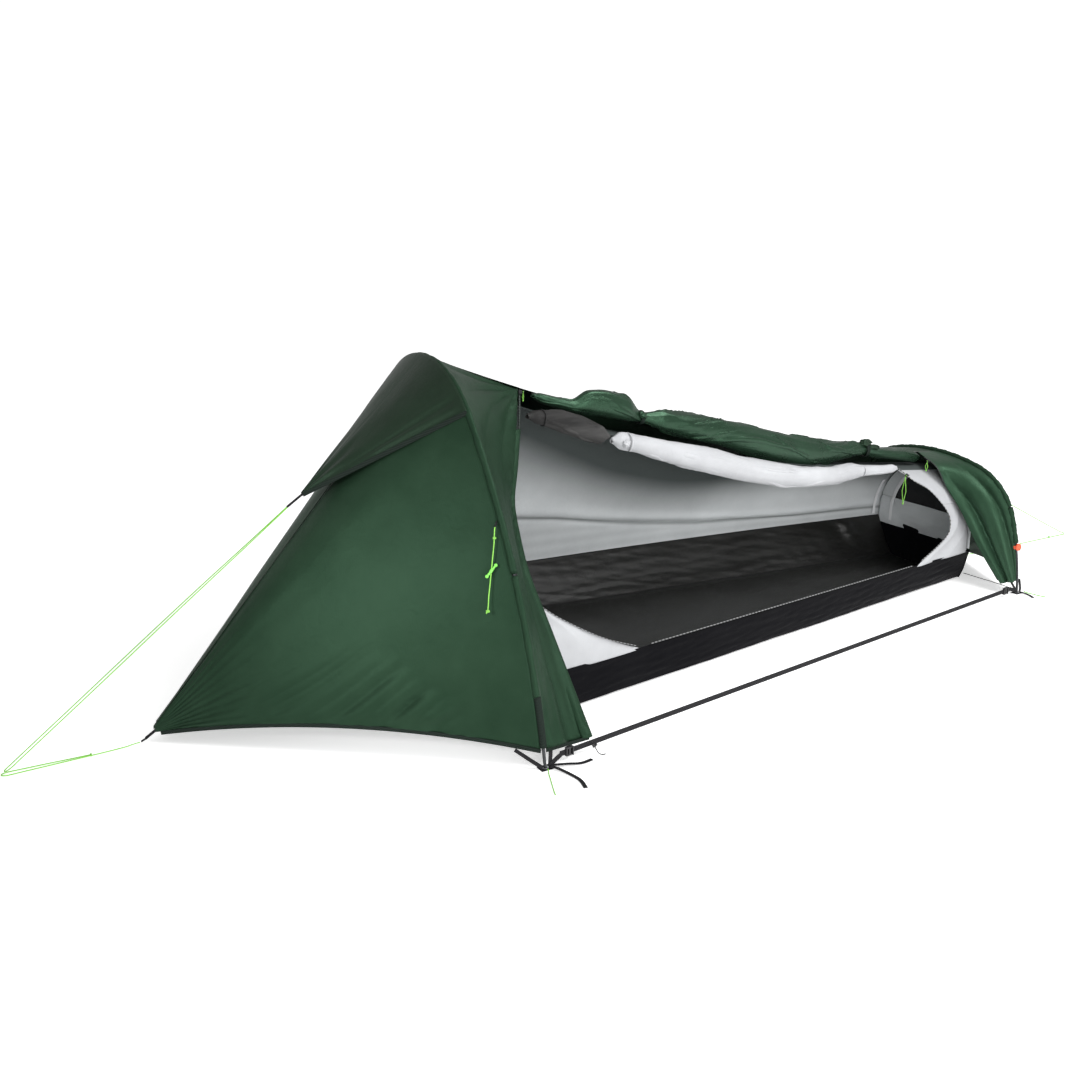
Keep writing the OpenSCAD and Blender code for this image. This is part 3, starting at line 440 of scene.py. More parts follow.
# A darker copy of the fly cloth for the rolled door: painted shade among its layers; its extra shine is the
# cloth's own.
ROLL_PAINTED_SHADE = cloth("rolled_fly_cloth_painted_shade", (0.0055, 0.014, 0.0075), (0.0105, 0.026, 0.0145), 0.28, 0.0009,
             0.006, shine=0.50, tint_gloss=GREEN_GLOSS)
BINDING = webbing("fly_binding", (0.006, 0.010, 0.008), (0.016, 0.024, 0.019))
TAPE = webbing("black_webbing", (0.006, 0.006, 0.007), (0.030, 0.030, 0.032))
# The tub cloth in two copies: a darker one, painted shade for the outer near wall and the ends, and a
# brighter one, painted light for the floor and far wall; the second's glossier finish is the cloth's own.
TUB_PAINTED_SHADE = cloth("tub_cloth", (0.004, 0.004, 0.005), (0.007, 0.007, 0.008), 0.45, 0.0010, soft=4.0,
            shine=0.02)
TUB_GLOSS_PAINTED_LIGHT = cloth("tub_cloth_glossy_painted_light", (0.012, 0.012, 0.011), (0.022, 0.022, 0.021), 0.36, 0.0010,
                  soft=4.0, shine=0.42)
# Light grey inner cloth; painted shade from each piece's shade attribute mixes it towards dark grey.
GREY = cloth("inner_grey_cloth", (0.68, 0.71, 0.72), (0.78, 0.81, 0.82), 0.7, 0.0008, 0.005,
             glow=0.15, uses_painted_shade=True)
SEAM_TAPE = cloth("seam_tape", (0.82, 0.83, 0.84), (0.90, 0.91, 0.92), 0.6, 0.0008)
WHITE = cloth("inner_white_cloth", (0.42, 0.425, 0.44), (0.52, 0.53, 0.545), 0.65, 0.0008,
              0.005, glow=0.12)
MESH = mesh_cloth("insect_mesh")
# Black rolled mesh with lighter streaks along the roll in its colour: painted highlights.
MESH_ROLL_PAINTED_SHEEN = cloth("rolled_mesh_painted_sheen", (0.005, 0.005, 0.005), (0.065, 0.064, 0.063), 0.7, 0.002,
                  soft=9.0, shine=0.1, painted_sheen_streak=(0.22, 1.6, 1.6))
LIME = braid("lime_cord", (0.16, 0.44, 0.05), (0.28, 0.62, 0.12))
BLACK_CORD = braid("black_elastic", (0.006, 0.006, 0.006), (0.030, 0.030, 0.030))
HARDWARE = moulded("black_plastic", (0.010, 0.010, 0.011), (0.018, 0.018, 0.020))
LIME_PLASTIC = moulded("lime_plastic", (0.16, 0.60, 0.07), (0.22, 0.72, 0.10), 0.35)
ORANGE = moulded("orange_plastic", (0.70, 0.07, 0.02), (0.80, 0.11, 0.04), 0.4)
ALLOY = moulded("turned_alloy", (0.55, 0.56, 0.58), (0.68, 0.69, 0.71), 0.30, 900.0, 1.0, 0.15)
POLE = moulded("anodised_tube", (0.035, 0.037, 0.040), (0.055, 0.057, 0.060), 0.32, 500.0, 0.8, 0.1)
ZIP_DARK = coil("dark_zip_coil", (0.008, 0.012, 0.010), (0.030, 0.042, 0.036))
ZIP = coil("zip_coil", (0.025, 0.025, 0.025), (0.24, 0.245, 0.245), 0.014)


# ---------------------------------------------------------------- making pieces
def mount(piece, replaced=()):
    """Lets a piece ride on the tent, in place of the CAD nodes that it replaces."""
    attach(piece, TENT)
    if replaced:
        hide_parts(*replaced)
    return piece


def add_piece(name, points, faces, paint, replaced=(), uvs=None, smooth=True):
    """A mesh piece in the row frame."""
    mesh = bpy.data.meshes.new(name)
    mesh.from_pydata([tuple(p) for p in np.reshape(points, (-1, 3))], [], faces)
    mesh.materials.append(paint)
    if uvs is not None:
        layer = mesh.uv_layers.new(name="cloth")
        flat = np.array([uvs[v] for f in faces for v in f], np.float32).ravel()
        layer.data.foreach_set("uv", flat)
    if smooth:
        mesh.polygons.foreach_set("use_smooth", [True] * len(mesh.polygons))
    mesh.validate()
    return mount(add_object(name, mesh), replaced)


def grid_faces(n, m, close_u=False, close_v=False, flip=False):
    rows = n if close_u else n - 1
    cols = m if close_v else m - 1
    faces = []
    for i in range(rows):
        for j in range(cols):
            a, b = i * m + j, i * m + (j + 1) % m
            c, d = ((i + 1) % n) * m + (j + 1) % m, ((i + 1) % n) * m + j
            faces.append((d, c, b, a) if flip else (a, b, c, d))
    return faces


def capped_faces(n, m):
    """The faces of a tube of n rings with m points each, closed at both ends."""
    ends = [tuple(range(m)), tuple(range(n * m - 1, (n - 1) * m - 1, -1))]
    return grid_faces(n, m, close_v=True, flip=True) + ends


def unit(rows):
    return rows / np.linalg.norm(rows, axis=1, keepdims=True)


def normals_of(grid):
    n = np.cross(np.gradient(grid, axis=0), np.gradient(grid, axis=1))
    return n / np.maximum(np.linalg.norm(n, axis=2, keepdims=True), 1e-9)


def lengths(grid, axis):
    """How far along the sheet each point lies, measured over its folds."""
    total = np.cumsum(np.linalg.norm(np.diff(grid, axis=axis), axis=2), axis=axis)
    pad = [(0, 0), (0, 0)]
    pad[axis] = (1, 0)
    return np.pad(total, pad)


def sheet(name, grid, paint, replaced, thick, offset):
    """A grid of points as cloth, its UVs measured along its folds, with a thickness."""
    uvs = np.stack([lengths(grid, 0), lengths(grid, 1)], axis=2).reshape(-1, 2)
    piece = add_piece(name, grid, grid_faces(*grid.shape[:2]), paint, replaced, uvs)
    solid = piece.modifiers.new("cloth_thickness", "SOLIDIFY")
    solid.thickness = thick * MM
    solid.offset = offset
    return piece


def panel(name, point, rows, cols, paint, replaced=(), out=None, side=1,
          span=(0, 1), painted_shade=None):
    """A sheet of cloth over u, v in 0 to 1. out(u, v) lifts it along its normal, in mm; side is the outside.

    An optional function of u, v gives painted shade from 0 to 1, stored per point for a cloth that takes it."""
    us, vs = np.linspace(*span, rows), np.linspace(0, 1, cols)
    gu, gv = np.meshgrid(us, vs, indexing="ij")
    base = np.array([[point(u, v) for v in vs] for u in us])
    if out is not None:
        base = base + side * normals_of(base) * out(gu, gv)[..., None]
    piece = sheet(name, place(base), paint, replaced, 0.7, 0)
    # Painted shade, stored per point for the material to read.
    if painted_shade is not None:
        kept = piece.data.attributes.new("painted_shade", "FLOAT", "POINT")
        kept.data.foreach_set("value", np.clip(painted_shade(gu, gv), 0, 1).astype(np.float32).ravel())
    return piece


def ring_frames(path):
    """Side and up vectors for each point of a path, kept upright."""
    ahead = unit(np.gradient(path, axis=0))
    ref = np.where(np.abs(ahead[:, 2:3]) > 0.9, vec(0, 1, 0), vec(0, 0, 1))
    side = unit(np.cross(ahead, ref))
    return side, np.cross(side, ahead)


def tube(name, path, radius, paint, replaced=(), sides=10, profile=None):
    """A closed tube along a path in mm; profile gives [across, up] factors for each side."""
    path = np.asarray(path, float)
    side, up = ring_frames(path)
    if profile is None:
        turn = np.linspace(0, 2 * math.pi, sides, endpoint=False)
        profile = np.stack([np.cos(turn), np.sin(turn)], axis=1)
    sides = len(profile)
    radius = np.broadcast_to(np.asarray(radius, float), (len(path),))
    around = profile[None, :, :1] * side[:, None] + profile[None, :, 1:] * up[:, None]
    rings = path[:, None] + radius[:, None, None] * around
    along = np.concatenate([[0], np.cumsum(np.linalg.norm(np.diff(place(path), axis=0), axis=1))])
    round_it = np.arange(sides) / sides * 2 * math.pi * float(radius.mean()) * MM
    uvs = np.stack(np.meshgrid(along, round_it, indexing="ij"), axis=2).reshape(-1, 2)
    return add_piece(name, place(rings), capped_faces(len(path), sides), paint, replaced, uvs)


def strap(name, path, width, thick, paint=TAPE, replaced=(), wide=None):
    """Flat tape along a path in mm, wide across the given direction, or level if none is given."""
    path = np.asarray(path, float)
    ahead = unit(np.gradient(path, axis=0))
    across = np.cross(ahead, vec(0, 0, 1)) if wide is None else np.broadcast_to(vec(*wide), ahead.shape)
    across = unit(across - (across * ahead).sum(1, keepdims=True) * ahead)
    up = np.cross(across, ahead)
    half, edge, slope = width / 2, 0.32 * thick, thick / 2
    low = [(-half, -edge), (-half + slope, -slope), (half - slope, -slope), (half, -edge)]
    corners = low + [(a, -b) for a, b in low[::-1]]
    rings = np.array([[p + a * s + b * t for a, b in corners] for p, s, t in zip(path, across, up)])
    return add_piece(name, place(rings), capped_faces(len(path), len(corners)), paint, replaced,
                     smooth=False)


def cord(name, points, diameter, paint, replaced):
    """A free cord: one smooth open curve through the CAD route's points, in mm."""
    line = place(smooth_path(points))
    data = bpy.data.curves.new(name, "CURVE")
    data.dimensions = "3D"
    data.bevel_depth = diameter / 2 * MM
    data.bevel_resolution = 3
    data.use_fill_caps = True
    spline = data.splines.new("POLY")
    spline.points.add(len(line) - 1)
    for p, at in zip(spline.points, line):
        p.co = (*at, 1)
    data.materials.append(paint)
    piece = mount(add_object(name, data), replaced)
    tuple(line[0])


def knot(name, at, size, paint, toward=(0, 0, 1)):
    """A small overhand knot: one closed trefoil tube."""
    t = np.linspace(0, 2 * math.pi, 40, endpoint=False)
    loop = np.stack([np.sin(t) + 2 * np.sin(2 * t), np.cos(t) - 2 * np.cos(2 * t), -np.sin(3 * t)], axis=1)
    turn = Vector(toward).to_track_quat("Z", "Y").to_matrix()
    loop = (np.array(turn) @ (loop * size / 6).T).T + np.asarray(at, float)
    ahead = unit(np.roll(loop, -1, 0) - np.roll(loop, 1, 0))
    side = unit(np.cross(ahead, vec(0.3, 0.5, 0.8)))
    up = np.cross(side, ahead)
    turns = np.linspace(0, 2 * math.pi, 8, endpoint=False)
    rings = np.array([[p + size / 6.5 * (math.cos(a) * s + math.sin(a) * w) for a in turns]
                      for p, s, w in zip(loop, side, up)])
    return add_piece(name, place(rings), grid_faces(40, 8, close_u=True, close_v=True, flip=True), paint)


make_camera()
make_stage()
bpy.context.scene.view_settings.view_transform = "Standard"

# ---------------------------------------------------------------- cords (routes as in the CAD, mm)
GUY_D, ELASTIC_D = 3.0, 2.6
SIDE_LINE = [(-24, -440, 584), (-27, -443, 572), (-30, -447, 558), (-33, -451, 544), (-37, -455, 530),
             (-41, -459, 516), (-45, -463, 502), (-49, -467, 488), (-53, -471, 474), (-57, -475, 460),
             (-61, -479, 446), (-65, -483, 432), (-69, -487, 418), (-72, -491, 406), (-75, -495, 396),
             (-79, -499, 388), (-84, -502, 384)]
HOOD_GUY_DOWN = [(-418, 2, 585), (-424, 3, 580), (-530, 5, 500), (-640, 7, 418), (-750, 8, 335),
                 (-860, 9, 251), (-970, 9, 167), (-1070, 9, 91), (-1120, 9, 53), (-1145, 9, 34),
                 (-1158, 9, 24), (-1168, 8, 17), (-1175, 5, 13)]
HOOD_GUY = HOOD_GUY_DOWN + [(-1178, 0, 12)] + [(x, -y, z) for x, y, z in HOOD_GUY_DOWN[::-1]]
GROUND_GUY = [(-853, 0, 7), (-870, -1, 6), (-890, -2, 4), (-930, -3, 3), (-1000, -5, 3), (-1080, -7, 3),
              (-1130, -8, 3), (-1158, -9, 3), (-1172, -9, 3), (-1182, -6, 3), (-1186, 0, 3), (-1182, 6, 3),
              (-1172, 9, 3), (-1158, 9, 3), (-1130, 8, 3), (-1080, 6, 3), (-1020, 3, 3), (-975, 1, 3)]
REAR_GUY = [(2163, 0, 404), (2168, 1, 401), (2250, 2, 353), (2360, 3, 298), (2470, 4, 243), (2580, 5, 188),
            (2690, 6, 135), (2800, 7, 82), (2880, 8, 44), (2925, 8, 23), (2945, 9, 14), (2956, 8, 9),
            (2963, 5, 6), (2966, 0, 5), (2963, -5, 4), (2956, -8, 3), (2940, -8, 3), (2860, -7, 3),
            (2740, -5, 3), (2620, -4, 3), (2500, -3, 3), (2400, -1, 5), (2353, 0, 8)]
CORNER = [(143, -640, 37), (145, -644, 31), (147, -648, 25), (149, -652, 19), (151, -656, 13),
          (153, -659, 8), (156, -662, 5), (160, -664, 3), (165, -666, 3), (171, -667, 3)]
ELASTIC = [(2113, -181, 22), (2117, -200, 21), (2121, -222, 20), (2125, -244, 19), (2129, -266, 18),
           (2132, -288, 18), (2134, -310, 17), (2136, -332, 17), (2138, -350, 16), (2138, -366, 16)]
FOOT_LOOP = [(-2, -666, 6), (-5, -674, 4), (-9, -682, 3), (-13, -692, 2), (-17, -702, 2), (-22, -714, 2),
             (-27, -726, 2), (-32, -738, 2), (-37, -750, 2), (-41, -760, 2), (-45, -770, 2), (-47, -778, 2)]
REAR_LINE = [(HOOP_GAP + 24, -402, 5), (HOOP_GAP + 28, -410, 3), (HOOP_GAP + 31, -418, 2),
             (HOOP_GAP + 34, -430, 2), (HOOP_GAP + 36, -442, 2), (HOOP_GAP + 39, -454, 2),
             (HOOP_GAP + 43, -464, 2), (HOOP_GAP + 48, -474, 2)]


def mirrored(points):
    return [(x, -y, z) for x, y, z in points]


for label, points in (("near", SIDE_LINE), ("far", mirrored(SIDE_LINE))):
    end_knot = knot(f"side_line_knot_{label}", points[-2], 9, LIME)
    cord(f"side_line_{label}_cord", points, GUY_D, LIME, [f"side_line_{label}"])
    knot(f"side_line_loop_knot_{label}", points[2], 8, LIME)
cord("hood_guyline_cord", HOOD_GUY, GUY_D, LIME, ["front_guyline"])
ground_knot = knot("ground_guy_knot", (-975, -2, 4), 8, LIME, (1, 0, 0.2))
cord("ground_guyline_cord", GROUND_GUY, GUY_D, LIME, ["front_guyline"])
cord("rear_guyline_cord", REAR_GUY, GUY_D, LIME, ["rear_guyline"])
cord("corner_elastic", CORNER, ELASTIC_D, BLACK_CORD, ["corner_cord"])
for label, points in (("near", ELASTIC), ("far", mirrored(ELASTIC))):
    cord(f"rear_elastic_{label}", points, ELASTIC_D, BLACK_CORD, [f"elastic_{label}"])
for label, points in (("near", FOOT_LOOP), ("far", mirrored(FOOT_LOOP))):
    cord(f"foot_loop_{label}_cord", points, GUY_D, LIME, ["foot_loops"])
cord("rear_foot_cord", REAR_LINE, GUY_D, LIME, ["rear_foot_line"])
knot("rear_guy_knot", (2860, -7, 4), 8, LIME, (1, 0, 0))


# ---------------------------------------------------------------- flysheet
def vestibule_pt(side):
    tip = vec(-REACH, 0, CORNER_Z)
    hoop = {}

    def point(u, v):
        if u not in hoop:
            hoop[u] = front_pt(u, side, -PANEL_DX, -1)
        p = lerp(hoop[u], tip, v * 0.985)
        pull = -14 * bump(v) * math.sin(math.pi * u) ** 0.8
        return p + vec(0, side * (SEAM * (1 - u) + pull), HEM_LIFT * bump(v) * u ** 4)
    return point


def vestibule_folds(u, v):
    """Slanting drag folds above the hem, a soft pull from the side line's loop, and slack below the hood."""
    along = -REACH * v
    height = lerp(FRONT_H * (1 - u) ** 1.15 + HEM_Z * u, CORNER_Z, v)
    across = height - 0.575 * along + 12 * np.sin(along / 90)
    reach = np.where(v < 0.4, 0.68 + 1.2 * (0.4 - v), 0.66 - 0.3 * (v - 0.4))
    patches = 0.55 + 0.6 * np.clip(ripple(across / 50, 2 * u, 3), -0.5, 1)
    shown = ease(u, reach - 0.05, reach + 0.12) * ease(v, 0.03, 0.15) * patches
    drag = (9.0 * crease(math.pi * across / 78) + 5.0 * crease(math.pi * across / 35 + 1)) * shown
    fan = 2.4 * np.sin(21 * u * math.pi) * ease(v, 0.55, 0.95) * (0.4 + 0.6 * u)
    loop = np.exp(-((u - 0.46) / 0.05) ** 2 - (v / 0.12) ** 2)
    below_hood = np.exp(-((u - 0.3) / 0.1) ** 2) * ease(v, 0.02, 0.1)
    under_hood = 2.2 * np.sin(42 * v + 5 * u) * below_hood * ease(1 - v, 0.5, 0.8)
    slack = 1.8 * ripple(6 * u, 7 * v, 5) + 0.9 * ripple(18 * u, 9 * v, 6)
    drag = drag * (0.3 + 0.7 * ease(1 - u, 0.0, 0.07))
    lift = drag + 0.8 * fan + 5 * loop + under_hood + slack
    return lift * np.minimum(1, 12 * (1 - v)) * ease(v, 0.0, 0.06)


panel("vestibule_near_cloth", vestibule_pt(-1), 150, 110, FLY, ["vestibule_near"], vestibule_folds, 1)
panel("vestibule_far_cloth", vestibule_pt(1), 150, 110, FLY, ["vestibule_far"], vestibule_folds, -1)

HOOD_U = 0.245


def hood_pt(s, v):
    w = 2 * s - 1
    hoop = front_pt(abs(w) * HOOD_U, -1 if w < 0 else 1, -PANEL_DX, 9)
    p = lerp(hoop, vec(-HOOD_REACH, 0, HOOD_TIP_Z), v * 0.985)
    return p + vec(0, 0, -6 * bump(v) * (1 - abs(w)))


def hood_folds(s, v):
    w = np.abs(2 * s - 1)
    fan = 2.2 * np.sin(11 * (2 * s - 1) + 2 * np.sin(3 * v)) * ease(v, 0.25, 0.85)
    beside_edge = ease(w, 0.66, 0.86) * ease(1 - w, 0.01, 0.06) * ease(0.75 - v, 0, 0.4)
    streaks = 2.6 * np.sin(36 * w + 2 * v) * beside_edge
    puckers = 2.0 * crease(17 * v + 3 * w) * ease(w, 0.86, 1.0) * np.sin(math.pi * v) ** 0.7
    lift = fan + streaks + puckers + 1.4 * ripple(7 * w, 6 * v, 11)
    return lift * ease(v, 0, 0.08) * np.minimum(1, 10 * (1 - v))


# The hood takes the darker fly copy: painted shade for its shaded side.
panel("hood_cloth", hood_pt, 120, 70, FLY_SHADE_AND_SEAMS, ["hood"], hood_folds, 1)

SIDE_EDGE = [(290, 0, 845), (255, -60, 765), (211, -120, 647), (180, -157, 560), (150, -234, 498),
             (124, -338, 407), (139, -428, 272), (140, -632, 47)]
REAR_EDGE = [(1990, -14, 472), (1982, -114, 434), (2007, -142, 367), (2036, -197, 283), (2072, -258, 160),
             (2096, -354, 34)]


def side_pt(u, v):
    p = lerp(front_pt(u, -1, PANEL_DX, -1), smooth_sample(SIDE_EDGE, u), v)
    return p + vec(0, -SEAM, 0)


def side_folds(u, v):
    """Rays from the gather where the door's zip meets the ridge, and long hanging folds lower down."""
    down, across = 950 * u, 277 * (1 - v)
    turn = np.arctan2(across, down + 1)
    reach = np.hypot(down, across)
    rays = 8.0 * crease(9.5 * turn) * ease(reach, 15, 70) * np.exp(-reach / 230)
    hang = 6.0 * np.sin(8 * v + 2.5 * u) * ease(u, 0.35, 0.8)
    hang = hang + 1.5 * np.sin(21 * v + 9 * u) * ease(u, 0.6, 0.9)
    hang = hang + 3.0 * ripple(14 * u, 6 * v, 22) * ease(u, 0.6, 0.9)
    puckers = 1.6 * crease(17 * u * math.pi) * ease(v, 0.75, 0.9)
    return (rays + hang + puckers + 1.6 * ripple(9 * u, 5 * v, 21)) * ease(v, 0, 0.15) * ease(u, 0, 0.03)


panel("side_panel_cloth", side_pt, 130, 50, FLY, ["side_panel"], side_folds, -1)


def flap_pt(u, v):
    """A narrow flap that covers the door's zip along the side panel's free edge."""
    p = smooth_sample(SIDE_EDGE, u)
    return p + vec(lerp(-22, 8, v), lerp(-4, -7, v) - 5 * bump(v), 0)


def flap_folds(u, v):
    return (crease(19 * u * math.pi + 2 * v) + ripple(30 * u, 2 * v, 25)) * bump(v)


panel("zip_flap_cloth", flap_pt, 150, 10, FLY, (), flap_folds, -1, span=(0.17, 1))


def rear_side_pt(u, v):
    return lerp(rear_pt(u, -1, -PANEL_DX, -1), smooth_sample(REAR_EDGE, u), v) + vec(0, -SEAM, 0)


def rear_side_folds(u, v):
    hang = 11 * crease(6.0 * v + 2.5 * u + 0.4) * ease(u, 0.15, 0.6)
    hang = hang + 2.5 * np.sin(23 * v + 6 * u) * ease(u, 0.4, 0.8)
    return (hang + 1.8 * ripple(8 * u, 4 * v, 31)) * ease(v, 0, 0.2)


# The rear side panel takes the lighter fly copy: painted light.
panel("rear_side_cloth", rear_side_pt, 90, 36, FLY_PAINTED_LIGHT, ["rear_side_panel"], rear_side_folds, 1)


def far_pt(u, v):
    p = lerp(front_pt(u, 1, PANEL_DX, -1), rear_pt(u, 1, -PANEL_DX, -1), v)
    pinch = 16 * bump(v) * math.sin(math.pi * u)
    return p - vec(0, pinch, RIDGE_SAG * bump(v) * (1 - u) ** 1.5) + vec(0, SEAM, 12 * bump(v) * u ** 5)


def far_folds(u, v):
    runs = 2.6 * np.sin(10 * u + 6 * (v - 0.5) ** 2) * np.sin(math.pi * v)
    hem = 3.5 * crease(15 * v + 2 * u) * ease(u, 0.8, 1.0)
    ends = 2.2 * np.sin(34 * u + 2) * (np.exp(-v / 0.08) + np.exp(-(1 - v) / 0.08))
    return (runs + hem + ends + 1.6 * ripple(6 * u, 14 * v, 41)) * ease(v, 0, 0.03) * ease(1 - v, 0, 0.03)


panel("far_roof_cloth", far_pt, 120, 170, FLY, ["far_panel"], far_folds, 1)
# The ridge seams take the darker fly copy: painted shade that keeps a highlight off their edge.
for label, first, last in (("front", 0, 0.135), ("rear", 0.925, 1)):
    path = [far_pt(0, v) + vec(0, -2 * SEAM, -0.5) for v in np.linspace(first, last, 16)]
    strap(f"ridge_seam_{label}", path, 16, 0.6, FLY_SHADE_AND_SEAMS, wide=(0, 1, 0))


def end_pt(side):
    tip = vec(HOOP_GAP + 180, 0, CORNER_Z)

    def point(u, v):
        p = lerp(rear_pt(u, side, PANEL_DX, -1), tip, v * 0.95)
        return p + vec(0, side * SEAM * (1 - u), 16 * bump(v) * u ** 4)
    return point


def end_folds(u, v):
    folds = 2.4 * np.sin(19 * u + 2 * v) * ease(v, 0.1, 0.6) + 1.2 * ripple(8 * u, 4 * v, 51)
    return folds * ease(v, 0, 0.1)


panel("end_near_cloth", end_pt(-1), 90, 40, FLY, ["end_panel_near"], end_folds, -1)
panel("end_far_cloth", end_pt(1), 90, 40, FLY, ["end_panel_far"], end_folds, 1)


# Pole sleeves: a slightly uneven cloth tube along each hoop
def hoop_path(hoop, side, z_end, steps, out, leaning=False, z_start=None):
    first = 0 if z_start is None else hoop.length_to(hoop.foot_slope(z_start))
    last = hoop.length_to(hoop.foot_slope(z_end))
    rows = []
    for d in np.linspace(first, last, steps):
        y, z = hoop.yz(hoop.slope_at(d), out)
        rows.append(lean(0, side * y, z) if leaning else vec(0, side * y, z))
    return np.array(rows)


def both_sides(hoop, z_end, steps, out, leaning):
    near, far = (hoop_path(hoop, side, z_end, steps, out, leaning) for side in (-1, 1))
    return np.vstack([near[::-1], far[1:]])


def sleeve(name, hoop, z_end, replaced, leaning):
    path = both_sides(hoop, z_end, 110, 0, leaning)
    along = np.linspace(0, 60, len(path))
    radius = 9.2 + 0.7 * np.sin(along * 2.1) + 0.5 * np.sin(along * 5.3)
    tube(name, path, radius, FLY, replaced, sides=14)


sleeve("front_sleeve_cloth", front, HEM_Z + 129, ["front_sleeve"], False)
for label, side in (("near", -1), ("far", 1)):
    path = hoop_path(front, side, HEM_Z + 4, 20, 1, z_start=HEM_Z + 131)
    tube(f"front_sleeve_stop_{label}", path, 9.0, BINDING)
sleeve("rear_sleeve_cloth", rear, 190, ["rear_sleeve"], True)


# ---------------------------------------------------------------- rolled doors
def smooth_stations(rows, count):
    rows = np.asarray(rows, float)
    x = rows[:, 0]
    at = np.linspace(x[0], x[-1], count)
    out = [at]
    for k in range(1, rows.shape[1]):
        flat = np.interp(at, x, rows[:, k])
        for _ in range(2):
            flat[1:-1] = (flat[:-2] + 2 * flat[1:-1] + flat[2:]) / 4
        out.append(flat)
    return np.stack(out, axis=1)


def rolled(name, rows, paint, replaced, turns, seed, count=200, round_steps=150, lump=0.2, start=0.6):
    """Cloth rolled up along a line: a spiral sheet with wandering folds and slack between its ties."""
    rows = smooth_stations(rows, count)
    t = np.linspace(0, 1, round_steps)
    angle = start * math.pi - t * turns * 2 * math.pi
    s = (rows[:, 0] - rows[0, 0]) / 100
    along, turned = np.meshgrid(s, angle, indexing="ij")
    t = np.broadcast_to(t, along.shape)
    reach = 0.84 + 0.16 * ease(t, 0, 0.4)
    line = turned + 0.30 * along + 0.5 * np.sin(0.9 * along + seed)
    folds = crease(1.9 * line) * (0.7 + 0.5 * ripple(0.6 * along, 0, seed + 1))
    folds = folds + 0.35 * crease(5.3 * line + np.sin(0.9 * along))
    folds = folds + 0.5 * ripple(1.5 * along, 1.5 * turned, seed)
    cross = np.clip(ripple(0.9 * along, 0.6 * turned, seed + 2) + 0.3, 0, 1)
    folds = folds - 0.12 + 1.1 * cross * crease(1.6 * turned - 1.3 * along)
    folds = lump * (folds + 0.12 * np.sin(9 * line + 2 * along))
    from_end = np.minimum(rows[:, 0] - rows[0, 0], rows[-1, 0] - rows[:, 0])
    mouth = 0.45 + 0.55 * ease(from_end, 0, 30)
    slack = 0.10 * np.sin(2.3 * along + seed) * ease(t, 0.75, 1.0)
    reach = reach * (1 + folds * ease(t, 0.2, 0.8) + slack)
    reach = np.clip(reach, 0.5, 1.1) * mouth[:, None]
    half_w, half_h = rows[:, 4], rows[:, 3]
    y = rows[:, 1:2] + half_w[:, None] * reach * np.cos(turned)
    z = rows[:, 2:3] + half_h[:, None] * reach * np.sin(turned)
    x = rows[:, :1] + 2.0 * np.sin(turned * 2 + s[:, None])
    sheet(name, place(np.stack([x, y, z], axis=2)), paint, replaced, 0.8, -1)


FLY_ROLL = [(318, -35, -14, 11, 12), (352, -36, -14, 17, 18), (455, -38, -12, 18, 20),
            (500, -40, 12, 36, 26), (570, -42, 24, 42, 28), (650, -40, 22, 40, 26), (692, -32, 6, 16, 16),
            (718, -32, 6, 16, 16), (780, -38, 10, 34, 26), (880, -40, 10, 44, 30), (1000, -42, 10, 46, 32),
            (1120, -42, 0, 48, 34), (1250, -44, -12, 49, 34), (1390, -42, -20, 52, 32),
            (1530, -36, -12, 37, 26), (1640, -32, 4, 27, 22), (1676, -30, 2, 20, 18),
            (1704, -30, 2, 20, 18), (1760, -30, -8, 19, 18), (1900, -30, -16, 20, 18),
            (1978, -30, -25, 18, 14)]
# The rolled fly door takes the darker copy: painted shade.
rolled("fly_roll_cloth", [(x, y, ridge_z(x) + z, h, w) for x, y, z, h, w in FLY_ROLL], ROLL_PAINTED_SHADE,
       ["fly_door_roll"], 2.4, 7, lump=0.30)

MESH_STATIONS = [(274, -84, 780, 15, 18), (320, -86, 771, 22, 20), (388, -88, 752, 33, 23),
                 (456, -88, 728, 35, 24), (524, -88, 702, 28, 22), (552, -88, 692, 16, 16)]
DOOR_STATIONS = [(562, -88, 680, 18, 14), (600, -88, 675, 27, 18), (655, -88, 659, 27, 20),
                 (712, -90, 640, 33, 22), (830, -92, 606, 38, 24), (950, -94, 570, 42, 26),
                 (1078, -94, 530, 42, 26), (1208, -94, 498, 41, 26), (1344, -92, 470, 37, 24),
                 (1484, -90, 457, 31, 22), (1578, -88, 460, 30, 20), (1628, -86, 457, 20, 16),
                 (1728, -84, 448, 17, 14), (1810, -80, 444, 15, 12)]
rolled("mesh_roll_cloth", MESH_STATIONS, MESH_ROLL_PAINTED_SHEEN, ["inner_mesh_roll"], 2.2, 13, 80, 120, 0.3)
rolled("inner_door_roll_cloth", DOOR_STATIONS, WHITE, ["inner_door_roll"], 2.2, 17, 170, 120, 0.12)


def tie_band(name, at, radius, width, paint, replaced=()):
    """A narrow cloth band round a roll."""
    turn = np.linspace(0, 2 * math.pi, 40, endpoint=False)
    half, thick = width / 2, 0.8
    rings = [[vec(at[0] + 1.5 * math.sin(3 * a) + dx, at[1] + (radius + dr) * math.cos(a),
                  at[2] + (radius + dr) * math.sin(a))
              for dx, dr in ((-half, -thick), (half, -thick), (half, thick), (-half, thick))] for a in turn]
    add_piece(name, place(rings), grid_faces(40, 4, close_u=True, close_v=True), paint, replaced)


